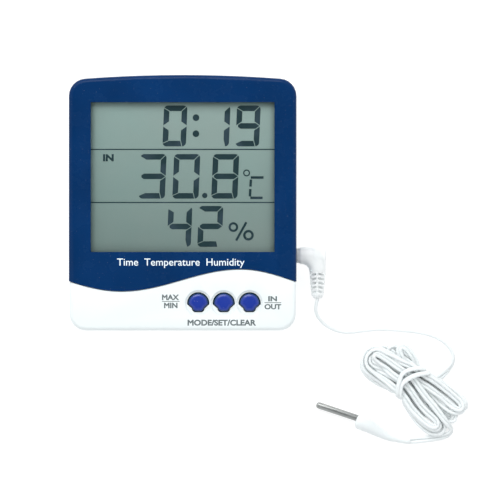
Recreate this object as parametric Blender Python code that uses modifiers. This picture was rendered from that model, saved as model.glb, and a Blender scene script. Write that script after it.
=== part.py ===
"""Digital clock, thermometer and hygrometer with a wired probe, lying on its back.

The display faces +Z and its top edge faces +Y. The origin is under the middle of
the case, on the surface that the back rests on. Sizes below are in millimetres,
and every shape helper turns them into Blender's metres.
"""

import math

import bmesh
import bpy
from mathutils import Matrix, Vector

MM = 0.001
WELD = 1e-6
PARTS = "maximum_minimum_thermometer"
HELPERS = "cutters"
SIDES = 24
GAP = 0.3

# Case
BODY_WIDTH = 97.4
BODY_BOTTOM = -55.0
BODY_TOP = 54.7
CORNER_RADIUS = 7.2
CROWN_RADIUS = 560.0
PARTING_HEIGHT = 10.0
WHITE_TOP = 21.7
SHELF_TOP = 20.5
BEZEL_TOP = 22.0
BEZEL_GROWTH = 0.3
BEZEL_WALL = 1.2
FRONT_WALL = 1.5
BACK_WALL = 1.8
RIM_ROUNDING = 1.8

# Line between the blue bezel and the white cover: a wave across the front, whose half
# waves beyond its trough and its peak are shorter than the one between them
WAVE_MIDDLE = -33.5
WAVE_HEIGHT = 4.75
WAVE_TROUGH_X = -26.4
WAVE_PEAK_X = 25.0
WAVE_HALF_LEFT = 48.0
WAVE_HALF_RIGHT = 44.0

# Display
WINDOW_HALF_WIDTH = 39.5
WINDOW_BOTTOM = -21.2
WINDOW_TOP = 43.2
GLASS_HALF_WIDTH = 41.0
GLASS_BOTTOM = -22.3
GLASS_TOP = 44.7
LEDGE = 2.0

# Circuit board, and the sockets and switches on it
BOARD_LOW = 13.4
BOARD_HIGH = 15.0
BOARD_SCREWS = ((-38.0, -29.5), (38.0, -29.5), (-38.0, -41.0), (-12.0, -30.0))
CASE_SCREWS = ((-30.0, 49.3), (30.0, 49.3), (-41.5, -47.5), (41.5, -47.5))

# Keys
KEY_XS = (6.7, 17.7, 28.8)
KEY_Y = -43.3
KEY_NAMES = ("max_min", "mode_set", "in_out")
KEY_HEAD_RADIUS = 4.8
KEY_SCALE = 0.885
KEY_TOP = 22.4
DISH_FLOOR = 21.0
DISH_FLOOR_RADIUS = 5.05
DISH_RIM_RADIUS = 5.75

# Jack socket in the right-hand wall, and the plug in it
JACK_Y = -22.8
JACK_Z = 10.0
JACK_BORE_RADIUS = 2.05
SLEEVE_RADIUS = 1.75
PLUG_RADIUS = 3.45
PLUG_DOWN_X = 58.26
RELIEF_START_Y = -30.2
RELIEF_END_Y = -40.3
RELIEF_SLOTS = 5
RELIEF_PITCH = 1.88
RELIEF_SLOT = 0.8

# Back: battery bay, stand leg, hanger, unit switch
BATTERY_Y = 12.0
BATTERY_Z = 6.75
BATTERY_RADIUS = 5.25
DOOR_HALF_WIDTH = 28.0
DOOR_BOTTOM = 4.5
DOOR_TOP = 19.5
LEG_HALF_WIDTH = 15.0
LEG_PIVOT_Y = -10.0
LEG_PIVOT_Z = 1.7
LEG_END_Y = -50.0
POCKET_DEPTH = 3.2
KEYHOLE_Y = 42.0
KEYHOLE_RADIUS = 3.6
SWITCH_X = 26.3
SWITCH_Y = 34.0
SWITCH_TRAVEL = 3.4

# Twin-core flat cord, from the plug to the probe
CORD_WIDTH = 3.0
CORD_SPACING = 6.5
RUN_ROUTE = (
    (58.26, -41.2, 10.0),
    (57.95, -43.0, 9.8),
    (57.25, -45.0, 9.1),
    (57.6, -47.8, 7.7),
    (59.4, -50.7, 6.0),
    (62.4, -53.4, 4.2),
    (67.2, -55.6, 2.4),
    (72.6, -56.1, 1.6),
    (77.6, -55.4, 1.52),
    (83.3, -54.8, 1.52),
    (89.1, -54.8, 1.52),
    (95.5, -55.3, 1.52),
    (102.4, -56.1, 1.52),
    (107.6, -57.4, 1.52),
    (112.0, -59.4, 1.52),
    (115.5, -62.3, 1.52),
    (117.4, -66.2, 1.55),
    (117.0, -69.4, 1.9),
    (115.0, -72.2, 2.6),
    (112.2, -74.8, 3.5),
)
TAIL_ROUTE = (
    (115.9, -96.9, 2.0),
    (116.6, -98.5, 1.6),
    (115.8, -100.2, 1.52),
    (113.0, -101.4, 1.52),
    (109.1, -102.0, 1.52),
    (102.8, -102.8, 1.52),
    (97.9, -103.2, 1.52),
)
HANK_X = 98.8
HANK_Y = -77.8
HANK_TURN = -40.0
HANK_HALF_LENGTH = 24.7
HANK_WAIST = 8.1
HANK_FLARE = 2.6
HANK_THICK = 7.6

# Probe on the cord's far end: a moulded sleeve that tapers onto the cord, and a steel tube
PROBE_SLEEVE_ROUTE = (
    (97.3, -103.15, 1.3),
    (92.3, -102.3, 1.4),
    (88.4, -101.1, 1.75),
    (83.9, -98.7, 2.4),
    (80.3, -96.5, 3.15),
    (77.8, -95.4, 3.3),
    (75.2, -94.5, 3.3),
    (74.7, -94.35, 2.95),
)
TUBE_FACE = (74.8, -93.1, 3.1)
TUBE_TIP = (57.8, -87.5, 1.5)
TUBE_RADIUS = 1.4
TUBE_BORE = 1.05
TUBE_INSERT = 4.0

# Colour, roughness, metallic value and alpha of each material
MATERIALS = {
    "blue_case": ((0.004, 0.028, 0.125), 0.35, 0.0, 1.0),
    "white_case": ((0.90, 0.93, 0.93), 0.40, 0.0, 1.0),
    "blue_key": ((0.022, 0.045, 0.42), 0.30, 0.0, 1.0),
    "clear_lens": ((0.90, 0.95, 0.95), 0.08, 0.0, 0.25),
    "lcd_glass": ((0.62, 0.68, 0.66), 0.12, 0.0, 0.4),
    "lcd_film": ((0.34, 0.40, 0.37), 0.30, 0.0, 1.0),
    "holder_plastic": ((0.10, 0.12, 0.13), 0.50, 0.0, 1.0),
    "zebra_rubber": ((0.45, 0.25, 0.30), 0.70, 0.0, 1.0),
    "green_board": ((0.02, 0.16, 0.06), 0.45, 0.0, 1.0),
    "black_plastic": ((0.015, 0.015, 0.017), 0.45, 0.0, 1.0),
    "silicone": ((0.62, 0.64, 0.64), 0.60, 0.0, 1.0),
    "bright_metal": ((0.72, 0.72, 0.70), 0.25, 1.0, 1.0),
    "zinc_screw": ((0.60, 0.60, 0.58), 0.35, 1.0, 1.0),
    "gold_contact": ((0.80, 0.58, 0.25), 0.28, 1.0, 1.0),
    "battery_label": ((0.03, 0.10, 0.16), 0.35, 0.0, 1.0),
    "white_vinyl": ((0.86, 0.89, 0.90), 0.45, 0.0, 1.0),
    "steel_tube": ((0.55, 0.56, 0.55), 0.30, 1.0, 1.0),
    "sensor_bead": ((0.25, 0.06, 0.03), 0.50, 0.0, 1.0),
}


# ---------------------------------------------------------------- scene and materials


def clear_scene():
    for item in list(bpy.data.objects):
        bpy.data.objects.remove(item, do_unlink=True)


def make_collections():
    for name in (PARTS, HELPERS):
        bpy.context.scene.collection.children.link(bpy.data.collections.new(name))


def make_materials():
    for name, (colour, roughness, metallic, alpha) in MATERIALS.items():
        material = bpy.data.materials.new(name)
        material.use_nodes = True
        shader = material.node_tree.nodes["Principled BSDF"]
        shader.inputs["Base Color"].default_value = (*colour, 1.0)
        shader.inputs["Roughness"].default_value = roughness
        shader.inputs["Metallic"].default_value = metallic
        shader.inputs["Alpha"].default_value = alpha


# ---------------------------------------------------------------- shape helpers


def add_object(name, data, slot):
    """Adds a part with a material or, with no slot, a hidden helper."""
    item = bpy.data.objects.new(name, data)
    if slot:
        bpy.data.collections[PARTS].objects.link(item)
        data.materials.append(bpy.data.materials[slot])
    else:
        bpy.data.collections[HELPERS].objects.link(item)
        item.hide_render = True
        item.display_type = "WIRE"
    return item


def add_mesh(name, bm, slot):
    mesh = bpy.data.meshes.new(name)
    bm.to_mesh(mesh)
    bm.free()
    mesh.shade_smooth()
    mesh.set_sharp_from_angle(angle=math.radians(35))
    return add_object(name, mesh, slot)


def round_edges(item, width, steps=3, weighted=False):
    bevel = item.modifiers.new("rounding", "BEVEL")
    bevel.width = width * MM
    bevel.segments = steps
    bevel.use_clamp_overlap = False
    bevel.limit_method = "WEIGHT" if weighted else "ANGLE"
    bevel.angle_limit = math.radians(50)
    return item


def box(name, low, high, slot=None):
    """A box between two corners."""
    low = Vector(low) * MM
    high = Vector(high) * MM
    bm = bmesh.new()
    bmesh.ops.create_cube(bm, size=1.0)
    bmesh.ops.scale(bm, vec=high - low, verts=bm.verts)
    item = add_mesh(name, bm, slot)
    item.location = (low + high) / 2
    return item


def cylinder(name, start, end, radius, slot=None, end_radius=None, sides=SIDES):
    """A cylinder, or a cone with an end radius, between two points on its axis."""
    start = Vector(start) * MM
    end = Vector(end) * MM
    bm = bmesh.new()
    bmesh.ops.create_cone(
        bm,
        cap_ends=True,
        segments=sides,
        radius1=radius * MM,
        radius2=(radius if end_radius is None else end_radius) * MM,
        depth=(end - start).length,
    )
    item = add_mesh(name, bm, slot)
    item.location = (start + end) / 2
    item.rotation_mode = "QUATERNION"
    item.rotation_quaternion = (end - start).to_track_quat("Z", "Y")
    return item


def mesh_from_curve(name, curve, slot):
    """Makes a mesh object of a curve, with its caps welded on and its flat faces whole."""
    item = add_object(name + "_curve", curve, None)
    bpy.context.view_layer.update()
    graph = bpy.context.evaluated_depsgraph_get()
    evaluated = item.evaluated_get(graph)
    bm = bmesh.new()
    bm.from_mesh(bpy.data.meshes.new_from_object(evaluated))
    bmesh.ops.remove_doubles(bm, verts=bm.verts, dist=WELD)
    bmesh.ops.dissolve_limit(bm, angle_limit=1e-3, verts=bm.verts, edges=bm.edges)
    made = add_mesh(name, bm, slot)
    made.matrix_world = item.matrix_world
    bpy.data.objects.remove(item, do_unlink=True)
    return made


def weigh_rim(mesh, top):
    """Gives the rim round the top (or the bottom) face its bevel weight."""
    bm = bmesh.new()
    bm.from_mesh(mesh)
    weight = bm.edges.layers.float.new("bevel_weight_edge")
    for edge in bm.edges:
        heights = [vert.co.z if top else -vert.co.z for vert in edge.verts]
        edge[weight] = 1.0 if min(heights) > 0 else 0.0
    bm.to_mesh(mesh)
    bm.free()


def plate(name, outline, low, high, slot=None, rounding=0.0, rounded_top=True, steps=4):
    """A flat outline, as (x, y) points, between two heights, with one rim rounded."""
    curve = bpy.data.curves.new(name, "CURVE")
    curve.dimensions = "2D"
    curve.fill_mode = "BOTH"
    curve.extrude = (high - low) / 2 * MM
    spline = curve.splines.new("POLY")
    spline.points.add(len(outline) - 1)
    for point, (x, y) in zip(spline.points, outline):
        point.co = (x * MM, y * MM, 0.0, 1.0)
    spline.use_cyclic_u = True
    item = mesh_from_curve(name, curve, slot)
    item.location.z = (low + high) / 2 * MM
    if rounding:
        weigh_rim(item.data, rounded_top)
        round_edges(item, rounding, steps, weighted=True)
    return item


def turned(name, profile, base, direction, slot=None, steps=SIDES):
    """A turned shape. The profile's (radius, height) points run down its outer side."""
    mesh = bpy.data.meshes.new(name)
    points = [(radius * MM, 0.0, height * MM) for radius, height in profile]
    edges = [(index, index + 1) for index in range(len(points) - 1)]
    mesh.from_pydata(points, edges, [])
    item = add_object(name, mesh, slot)
    item.location = Vector(base) * MM
    item.rotation_mode = "QUATERNION"
    item.rotation_quaternion = Vector(direction).to_track_quat("Z", "Y")
    screw = item.modifiers.new("turning", "SCREW")
    screw.steps = steps
    screw.render_steps = steps
    screw.use_merge_vertices = True
    screw.merge_threshold = 1e-5
    screw.use_smooth_shade = True
    return item


def tube_curve(name, points, radius, resolution=2):
    """The curve of a round tube along (x, y, z) points."""
    curve = bpy.data.curves.new(name, "CURVE")
    curve.dimensions = "3D"
    curve.fill_mode = "FULL"
    curve.bevel_depth = radius * MM
    curve.bevel_resolution = resolution
    curve.use_fill_caps = True
    spline = curve.splines.new("POLY")
    spline.points.add(len(points) - 1)
    for place, point in zip(spline.points, points):
        place.co = (*(Vector(point) * MM), 1.0)
    return curve


def tube(name, points, radius, slot=None):
    return add_object(name, tube_curve(name, points, radius), slot)


def smooth_route(points, spacing):
    """Points about `spacing` apart on the smooth (Catmull-Rom) curve through a route."""
    knots = [Vector(point) for point in points]
    knots = [2 * knots[0] - knots[1], *knots, 2 * knots[-1] - knots[-2]]
    route = [knots[1]]
    for before, start, end, after in zip(knots, knots[1:], knots[2:], knots[3:]):
        steps = max(1, round((end - start).length / spacing))
        for step in range(1, steps + 1):
            t = step / steps
            route.append(
                0.5
                * (
                    2 * start
                    + (end - before) * t
                    + (2 * before - 5 * start + 4 * end - after) * t**2
                    + (3 * start - before - 3 * end + after) * t**3
                )
            )
    return route


def combine(item, operation, others):
    for other in others:
        boolean = item.modifiers.new(other.name, "BOOLEAN")
        boolean.operation = operation
        boolean.solver = "EXACT"
        boolean.object = other
    return item


def cut(item, *others):
    return combine(item, "DIFFERENCE", others)


def join(item, *others):
    return combine(item, "UNION", others)


def arc(x, y, radius, start, end, steps):
    """Points on a circle, from one angle in degrees to another."""
    angles = [math.radians(start + (end - start) * step / steps) for step in range(steps + 1)]
    return [(x + radius * math.cos(angle), y + radius * math.sin(angle)) for angle in angles]


def round_box(left, bottom, right, top, radius, steps=4):
    """The outline of a rectangle with round corners."""
    return (
        arc(left + radius, bottom + radius, radius, 180, 270, steps)
        + arc(right - radius, bottom + radius, radius, 270, 360, steps)
        + arc(right - radius, top - radius, radius, 0, 90, steps)
        + arc(left + radius, top - radius, radius, 90, 180, steps)
    )


# ---------------------------------------------------------------- case


def case_outline(inset):
    """The front view's outline, moved inwards: straight sides, a crowned top, round corners."""
    corner_x = BODY_WIDTH / 2 - CORNER_RADIUS
    crown_y = BODY_TOP - CROWN_RADIUS
    top_y = crown_y + math.sqrt((CROWN_RADIUS - CORNER_RADIUS) ** 2 - corner_x**2)
    bottom_y = BODY_BOTTOM + CORNER_RADIUS
    radius = CORNER_RADIUS - inset
    lean = math.degrees(math.asin(corner_x / (CROWN_RADIUS - CORNER_RADIUS)))
    crown = arc(0, crown_y, CROWN_RADIUS - inset, 90 - lean, 90 + lean, 10)
    return (
        arc(corner_x, bottom_y, radius, -90, 0, 6)
        + arc(corner_x, top_y, radius, 0, 90 - lean, 6)
        + crown[1:-1]
        + arc(-corner_x, top_y, radius, 90 + lean, 180, 6)
        + arc(-corner_x, bottom_y, radius, 180, 270, 6)
    )


def wave_height(x):
    if x < WAVE_TROUGH_X:
        share = (x - WAVE_TROUGH_X) / WAVE_HALF_LEFT
    elif x < WAVE_PEAK_X:
        share = (x - WAVE_TROUGH_X) / (WAVE_PEAK_X - WAVE_TROUGH_X)
    else:
        share = 1.0 + (x - WAVE_PEAK_X) / WAVE_HALF_RIGHT
    return WAVE_MIDDLE - WAVE_HEIGHT * math.cos(math.pi * share)


def wave_outline(shift, far_y):
    """The area between the wave line, moved up by `shift`, and a far edge."""
    reach = 60.0
    steps = 44
    xs = [-reach + 2 * reach * step / steps for step in range(steps + 1)]
    line = [(x, wave_height(x) + shift) for x in xs]
    if far_y > 0:
        return line + [(reach, far_y), (-reach, far_y)]
    return [(-reach, far_y), (reach, far_y)] + line[::-1]


def key_outline(x, scale):
    """A key's outline: a round head on a narrower foot."""
    foot = [(-2.75, -2.15), (-2.5, -3.1), (-1.7, -3.8), (1.7, -3.8), (2.5, -3.1), (2.75, -2.15)]
    points = arc(0, 0, KEY_HEAD_RADIUS, -5, 185, 18) + foot
    return [(x + scale * px, KEY_Y + scale * py) for px, py in points]


def jack_hole(name):
    return cylinder(name, (44.0, JACK_Y, JACK_Z), (53.0, JACK_Y, JACK_Z), 2.9)


def build_bezel():
    """The blue front shell, from the wave line up, with the display window."""
    bezel = plate(
        "bezel", case_outline(-BEZEL_GROWTH), PARTING_HEIGHT + 0.15, BEZEL_TOP, "blue_case", 2.0
    )
    inside = case_outline(BEZEL_WALL - BEZEL_GROWTH)
    cut(
        bezel,
        plate("bezel_inside", inside, 5.0, SHELF_TOP + GAP, rounding=1.0, steps=3),
        plate("bezel_below_wave", wave_outline(0.15, -70), 5.0, 30.0),
        box(
            "bezel_window",
            (-WINDOW_HALF_WIDTH, WINDOW_BOTTOM, 15.0),
            (WINDOW_HALF_WIDTH, WINDOW_TOP, 30.0),
        ),
        jack_hole("bezel_jack_hole"),
    )


def key_dish(name, x):
    """The cutter for the shallow cone that is sunk round a key."""
    return cylinder(
        name,
        (x, KEY_Y, DISH_FLOOR),
        (x, KEY_Y, WHITE_TOP + 0.01),
        DISH_FLOOR_RADIUS,
        end_radius=DISH_RIM_RADIUS,
        sides=32,
    )


def screw_boss(name, x, y, low, radius):
    return cylinder(name, (x, y, low), (x, y, 19.6), radius, sides=16)


def build_front_cover():
    """The white front shell: its own front below the wave line, and a shelf under the bezel."""
    low = PARTING_HEIGHT + 0.15
    cover = plate("front_cover", case_outline(0), low, WHITE_TOP, "white_case", RIM_ROUNDING)
    shelf = plate("front_shelf", case_outline(1.2), low, SHELF_TOP, rounding=1.0, steps=3)
    cut(cover, plate("front_above_wave", wave_outline(-0.15, 70), 5.0, 30.0))
    join(cover, shelf)
    cut(
        cover,
        plate("front_inside", case_outline(1.2 + FRONT_WALL), 5.0, 19.0),
        box("key_pocket", (-6.0, -50.0, 15.0), (42.0, -37.0, 19.9)),
        box("front_window", (-42.5, -23.8, 15.0), (42.5, 46.2, 30.0)),
        jack_hole("front_jack_hole"),
    )
    for number, (x, y) in enumerate(CASE_SCREWS, 1):
        join(cover, screw_boss(f"case_boss_{number}", x, y, 6.3, 2.3))
        pilot = cylinder(f"case_pilot_{number}", (x, y, 4.0), (x, y, 14.0), 1.25, sides=16)
        cut(cover, pilot)
    for number, (x, y) in enumerate(BOARD_SCREWS, 1):
        join(cover, screw_boss(f"board_boss_{number}", x, y, BOARD_HIGH + GAP, 2.2))
        pilot = cylinder(f"board_pilot_{number}", (x, y, 12.0), (x, y, 18.6), 1.1, sides=16)
        cut(cover, pilot)
    for name, x in zip(KEY_NAMES, KEY_XS):
        dish = key_dish(f"dish_{name}", x)
        hole = plate(f"key_hole_{name}", key_outline(x, 1.0), 15.0, 25.0)
        cut(cover, dish, hole)


def build_back_cover():
    """The white back shell, with the bay, pocket, towers and slots moulded in it."""
    high = PARTING_HEIGHT - 0.15
    cover = plate(
        "back_cover", case_outline(0), 0.0, high, "white_case", RIM_ROUNDING, rounded_top=False
    )
    cut(cover, plate("back_inside", case_outline(BACK_WALL), BACK_WALL, 15.0))
    join(
        cover,
        box("leg_pocket_shell", (-17.3, -52.3, 0.5), (17.3, -5.7, POCKET_DEPTH + 1.6)),
        box("bay_shell", (-29.5, 3.0, 0.5), (29.5, 21.0, 13.1)),
        box("hanger_shell", (-5.8, 36.8, 0.5), (5.8, 50.2, 8.0)),
    )
    for number, (x, y) in enumerate(CASE_SCREWS, 1):
        tower = cylinder(f"tower_{number}", (x, y, 0.5), (x, y, 6.0), 3.6, sides=16)
        well = cylinder(f"well_{number}", (x, y, -1.0), (x, y, 4.4), 2.6, sides=16)
        bore = cylinder(f"tower_bore_{number}", (x, y, -1.0), (x, y, 8.0), 1.3, sides=16)
        join(cover, tower)
        cut(cover, well, bore)
    cut_leg_pocket(cover)
    cut_battery_bay(cover)
    cut_hanger(cover)
    cut_vents(cover)
    cut(cover, jack_hole("back_jack_hole"))


def cut_leg_pocket(cover):
    side = LEG_HALF_WIDTH + 0.6
    cut(
        cover,
        box("leg_pocket", (-side, LEG_END_Y - 0.5, -1.0), (side, -7.4, POCKET_DEPTH)),
        box("leg_finger_scoop", (-6.0, -52.0, -1.0), (6.0, -48.0, 2.4)),
        cylinder(
            "leg_pin_hole",
            (-17.2 + GAP / 2, LEG_PIVOT_Y, LEG_PIVOT_Z),
            (17.2 - GAP / 2, LEG_PIVOT_Y, LEG_PIVOT_Z),
            1.2,
            sides=16,
        ),
    )


def cut_battery_bay(cover):
    rebate = GAP
    cut(
        cover,
        box("battery_bay", (-26.0, 6.0, -1.0), (26.0, 18.0, 12.3)),
        box(
            "door_rebate",
            (-DOOR_HALF_WIDTH - rebate, DOOR_BOTTOM - rebate, -1.0),
            (DOOR_HALF_WIDTH + rebate, DOOR_TOP + rebate, 1.7),
        ),
        box("door_finger_notch", (-5.0, 18.8, -1.0), (5.0, 20.6, 1.0)),
        box("contact_slot_right", (22.9, 10.2, 11.0), (24.1, 13.8, 14.0)),
        box("contact_slot_left", (-25.9, 10.2, 11.0), (-24.9, 13.8, 14.0)),
    )


def cut_hanger(cover):
    pocket = box("hanger_pocket", (-4.6, 38.0, 1.8), (4.6, 49.0, 6.8))
    head = cylinder("hanger_head", (0, KEYHOLE_Y, -1.0), (0, KEYHOLE_Y, 3.0), KEYHOLE_RADIUS)
    slot = plate("hanger_slot", round_box(-1.8, KEYHOLE_Y, 1.8, 48.0, 1.79), -1.0, 3.0)
    cut(cover, pocket, head, slot)


def cut_vents(cover):
    for number in range(5):
        x = -39.3 + 3.0 * number
        outline = round_box(x - 0.7, 29.0, x + 0.7, 44.0, 0.69, steps=3)
        cut(cover, plate(f"vent_{number + 1}", outline, -1.0, 3.0))
    left = SWITCH_X - 1.8
    right = SWITCH_X + SWITCH_TRAVEL + 1.8
    cut(cover, box("switch_slot", (left, SWITCH_Y - 1.7, -1.0), (right, SWITCH_Y + 1.7, 3.0)))


def build_case_screws():
    for number, (x, y) in enumerate(CASE_SCREWS, 1):
        name = f"case_screw_{number}"
        screw = cylinder(name, (x, y, 2.6), (x, y, 4.1), 2.2, "zinc_screw", sides=16)
        shaft = cylinder(f"{name}_shaft", (x, y, 3.5), (x, y, 12.5), 0.95, sides=10)
        join(screw, shaft)
        cut(screw, *cross_recess(name, x, y, 2.6))


def cross_recess(name, x, y, face):
    """The two slots of a cross-head, in a screw head whose face looks down at `face`."""
    return (
        box(f"{name}_slot_x", (x - 1.2, y - 0.25, face - 1.0), (x + 1.2, y + 0.25, face + 0.7)),
        box(f"{name}_slot_y", (x - 0.25, y - 1.2, face - 1.0), (x + 0.25, y + 1.2, face + 0.7)),
    )


# ---------------------------------------------------------------- display


def build_display():
    """The lens, the liquid crystal cell's layers, its holder and its two connectors."""
    half = GLASS_HALF_WIDTH
    low = GLASS_BOTTOM
    high = GLASS_TOP
    rear_low = low + LEDGE
    rear_high = high - LEDGE
    box("display_window", (-half, low, 19.7), (half, high, 20.5), "clear_lens")
    box(
        "lcd_front_polariser", (-half + 1, low + 1, 19.2), (half - 1, high - 1, 19.4), "lcd_film"
    )
    box("lcd_front_glass", (-half, low, 18.1), (half, high, 18.9), "lcd_glass")
    box("lcd_rear_glass", (-half, rear_low, 17.0), (half, rear_high, 17.8), "lcd_glass")
    box("lcd_reflector", (-half, rear_low, 16.5), (half, rear_high, 16.7), "lcd_film")
    for name, y in (("upper", rear_high + GAP), ("lower", rear_low - GAP - 1.5)):
        box(
            f"zebra_strip_{name}",
            (-half, y, BOARD_HIGH + GAP),
            (half, y + 1.5, 17.8),
            "zebra_rubber",
        )
    holder = box(
        "lcd_holder",
        (-half - 2.2, low - 2.3, BOARD_HIGH + GAP),
        (half + 2.2, high + 2.1, 18.7),
        "holder_plastic",
    )
    opening = box(
        "holder_opening", (-half - GAP, low - GAP, 10.0), (half + GAP, high + GAP, 25.0)
    )
    cut(holder, opening)


# ---------------------------------------------------------------- board


def build_board():
    board = box("main_board", (-42.5, -50.0, BOARD_LOW), (42.5, 46.5, BOARD_HIGH), "green_board")
    cut(
        board,
        box("board_corner_left", (-45.0, -55.0, 10.0), (-37.8, -44.8, 17.0)),
        box("board_corner_right", (37.8, -55.0, 10.0), (45.0, -44.8, 17.0)),
    )
    for number, (x, y) in enumerate(BOARD_SCREWS, 1):
        cut(board, cylinder(f"board_hole_{number}", (x, y, 10.0), (x, y, 17.0), 1.2, sides=16))
        name = f"board_screw_{number}"
        top = BOARD_LOW - GAP
        screw = cylinder(name, (x, y, top - 1.0), (x, y, top), 1.9, "zinc_screw", sides=16)
        shaft = cylinder(f"{name}_shaft", (x, y, top - 0.5), (x, y, 18.2), 0.8, sides=10)
        join(screw, shaft)
        cut(screw, *cross_recess(name, x, y, top - 1.4))


def build_board_parts():
    """What stands on the board's back."""
    top = BOARD_LOW - GAP
    turned(
        "chip_blob",
        [(0, 1.4), (3.5, 1.2), (5.6, 0.7), (6.6, 0.0), (0, 0.0)],
        (-22.0, -12.0, top),
        (0, 0, -1),
        "black_plastic",
    )
    cylinder("crystal", (-9.0, -14.0, 12.0), (-3.0, -14.0, 12.0), 1.05, "bright_metal", sides=16)
    cylinder("board_capacitor", (10.0, -14.0, 8.1), (10.0, -14.0, top), 2.5, "black_plastic")
    cylinder("air_thermistor", (-33.0, 26.0, 11.4), (-33.0, 26.0, top), 1.2, "sensor_bead", sides=16)
    sensor = box("humidity_sensor", (-38.0, 33.5, 10.0), (-28.0, 41.5, top), "white_vinyl")
    for number in range(3):
        y = 35.2 + 2.0 * number
        slot = box(f"humidity_slot_{number + 1}", (-36.5, y, 8.0), (-29.5, y + 0.8, 11.4))
        cut(sensor, slot)
    box(
        "unit_switch_body",
        (SWITCH_X - 3.0, SWITCH_Y - 3.0, 9.4),
        (SWITCH_X + SWITCH_TRAVEL + 3.0, SWITCH_Y + 3.0, top),
        "black_plastic",
    )
    box(
        "unit_switch_knob",
        (SWITCH_X - 1.5, SWITCH_Y - 1.3, 0.4),
        (SWITCH_X + 1.5, SWITCH_Y + 1.3, 9.1),
        "black_plastic",
    )


def build_jack():
    """The socket on the board's edge, whose nose reaches through the case wall, and its spring."""
    half = 3.1
    socket = box(
        "jack_socket",
        (34.8, JACK_Y - half, JACK_Z - half),
        (45.6, JACK_Y + half, JACK_Z + half),
        "black_plastic",
    )
    nose = cylinder("jack_nose", (44.0, JACK_Y, JACK_Z), (48.4, JACK_Y, JACK_Z), 2.6)
    bore = cylinder("jack_bore", (30.0, JACK_Y, JACK_Z), (52.0, JACK_Y, JACK_Z), JACK_BORE_RADIUS)
    join(socket, nose)
    cut(socket, bore)
    box(
        "jack_contact",
        (33.9, JACK_Y - 1.2, JACK_Z - 2.5),
        (34.4, JACK_Y + 1.2, JACK_Z + half),
        "gold_contact",
    )


# ---------------------------------------------------------------- keys


def build_keys():
    """The keys, the rubber domes that return them, and the mat between the domes."""
    mat = box("keypad_mat", (-3.0, -49.5, 15.3), (38.5, -37.3, 16.0), "silicone")
    for name, x in zip(KEY_NAMES, KEY_XS):
        cut(mat, cylinder(f"mat_hole_{name}", (x, KEY_Y, 14.0), (x, KEY_Y, 17.0), 3.9))
        build_dome(f"key_dome_{name}", x)
        key = plate(
            f"button_{name}", key_outline(x, KEY_SCALE), 18.6, KEY_TOP, "blue_key", 0.9, steps=3
        )
        join(key, cylinder(f"flange_{name}", (x, KEY_Y, 18.3), (x, KEY_Y, 19.5), 5.2))
        set_origin(key, (x, KEY_Y, 19.0))


def build_dome(name, x):
    outside = [(1.8, 2.7), (2.4, 2.1), (3.0, 0.8), (3.6, 0.4), (3.6, 0.0)]
    inside = [(3.0, 0.0), (2.5, 0.6), (1.9, 1.7), (0.0, 1.7)]
    turned(
        name, [(0.0, 2.7), *outside, *inside], (x, KEY_Y, 15.3), (0, 0, 1), "silicone", steps=16
    )


def set_origin(item, place):
    """Moves an object's origin to a point, and leaves its shape where it is."""
    place = Vector(place) * MM
    item.data.transform(Matrix.Translation(item.location - place))
    item.location = place


# ---------------------------------------------------------------- leg, door and battery


def build_stand_leg():
    """The leg, a plate on a barrel whose two pins turn in the pocket's side walls."""
    leg = plate(
        "stand_leg",
        round_box(-LEG_HALF_WIDTH, LEG_END_Y, LEG_HALF_WIDTH, LEG_PIVOT_Y + 1.0, 0.9, steps=3),
        0.3,
        2.5,
        "white_case",
    )
    axis = (LEG_PIVOT_Y, LEG_PIVOT_Z)
    pins = cylinder("leg_pins", (-16.7, *axis), (16.7, *axis), 0.9, sides=16)
    barrel = cylinder("leg_barrel", (-LEG_HALF_WIDTH + 0.01, *axis), (14.99, *axis), 1.2, sides=16)
    hollow = box("leg_hollow", (-11.0, -46.0, 1.6), (11.0, -14.0, 4.0))
    notch = box("leg_notch", (-4.0, -52.0, -1.0), (4.0, -48.8, 1.0))
    join(leg, barrel, pins)
    cut(leg, hollow, notch)
    set_origin(leg, (0.0, *axis))


def build_battery_door():
    """The door, whose outer long edge is its hinge line."""
    door = box(
        "battery_door",
        (-DOOR_HALF_WIDTH, DOOR_BOTTOM, 0.2),
        (DOOR_HALF_WIDTH, DOOR_TOP, 1.4),
        "white_case",
    )
    for number in range(3):
        y = 13.5 + 1.6 * number
        cut(door, box(f"door_grip_{number + 1}", (-6.0, y, -1.0), (6.0, y + 0.8, 0.5)))
    set_origin(door, (0.0, DOOR_BOTTOM, 0.2))


def build_battery():
    """An AAA cell, its two contacts, and the coil that presses on its flat end."""
    rim = BATTERY_RADIUS
    profile = [(0, 44.5), (1.9, 44.5), (1.9, 43.7), (rim - 0.35, 43.6), (rim, 43.2), (rim, 0), (0, 0)]
    place = (-21.5, BATTERY_Y, BATTERY_Z)
    turned("battery", profile, place, (1, 0, 0), "battery_label")
    for name, x in (("positive", 23.3), ("negative", -25.7)):
        contact = box(
            f"battery_contact_{name}", (x, 7.5, 2.2), (x + 0.4, 16.5, 11.6), "bright_metal"
        )
        tab = box(f"{name}_tab", (x + 0.05, 10.8, 11.0), (x + 0.35, 13.2, 13.05))
        join(contact, tab)
    turns = 3.5
    steps = 35
    coil = []
    for step in range(steps + 1):
        t = step / steps
        angle = 2 * math.pi * turns * t
        radius = 3.6 - 1.8 * t
        y = BATTERY_Y + radius * math.cos(angle)
        coil.append((-24.7 + 2.6 * t, y, BATTERY_Z + radius * math.sin(angle)))
    tube("battery_spring", coil, 0.28, "bright_metal")


# ---------------------------------------------------------------- plug


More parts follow.
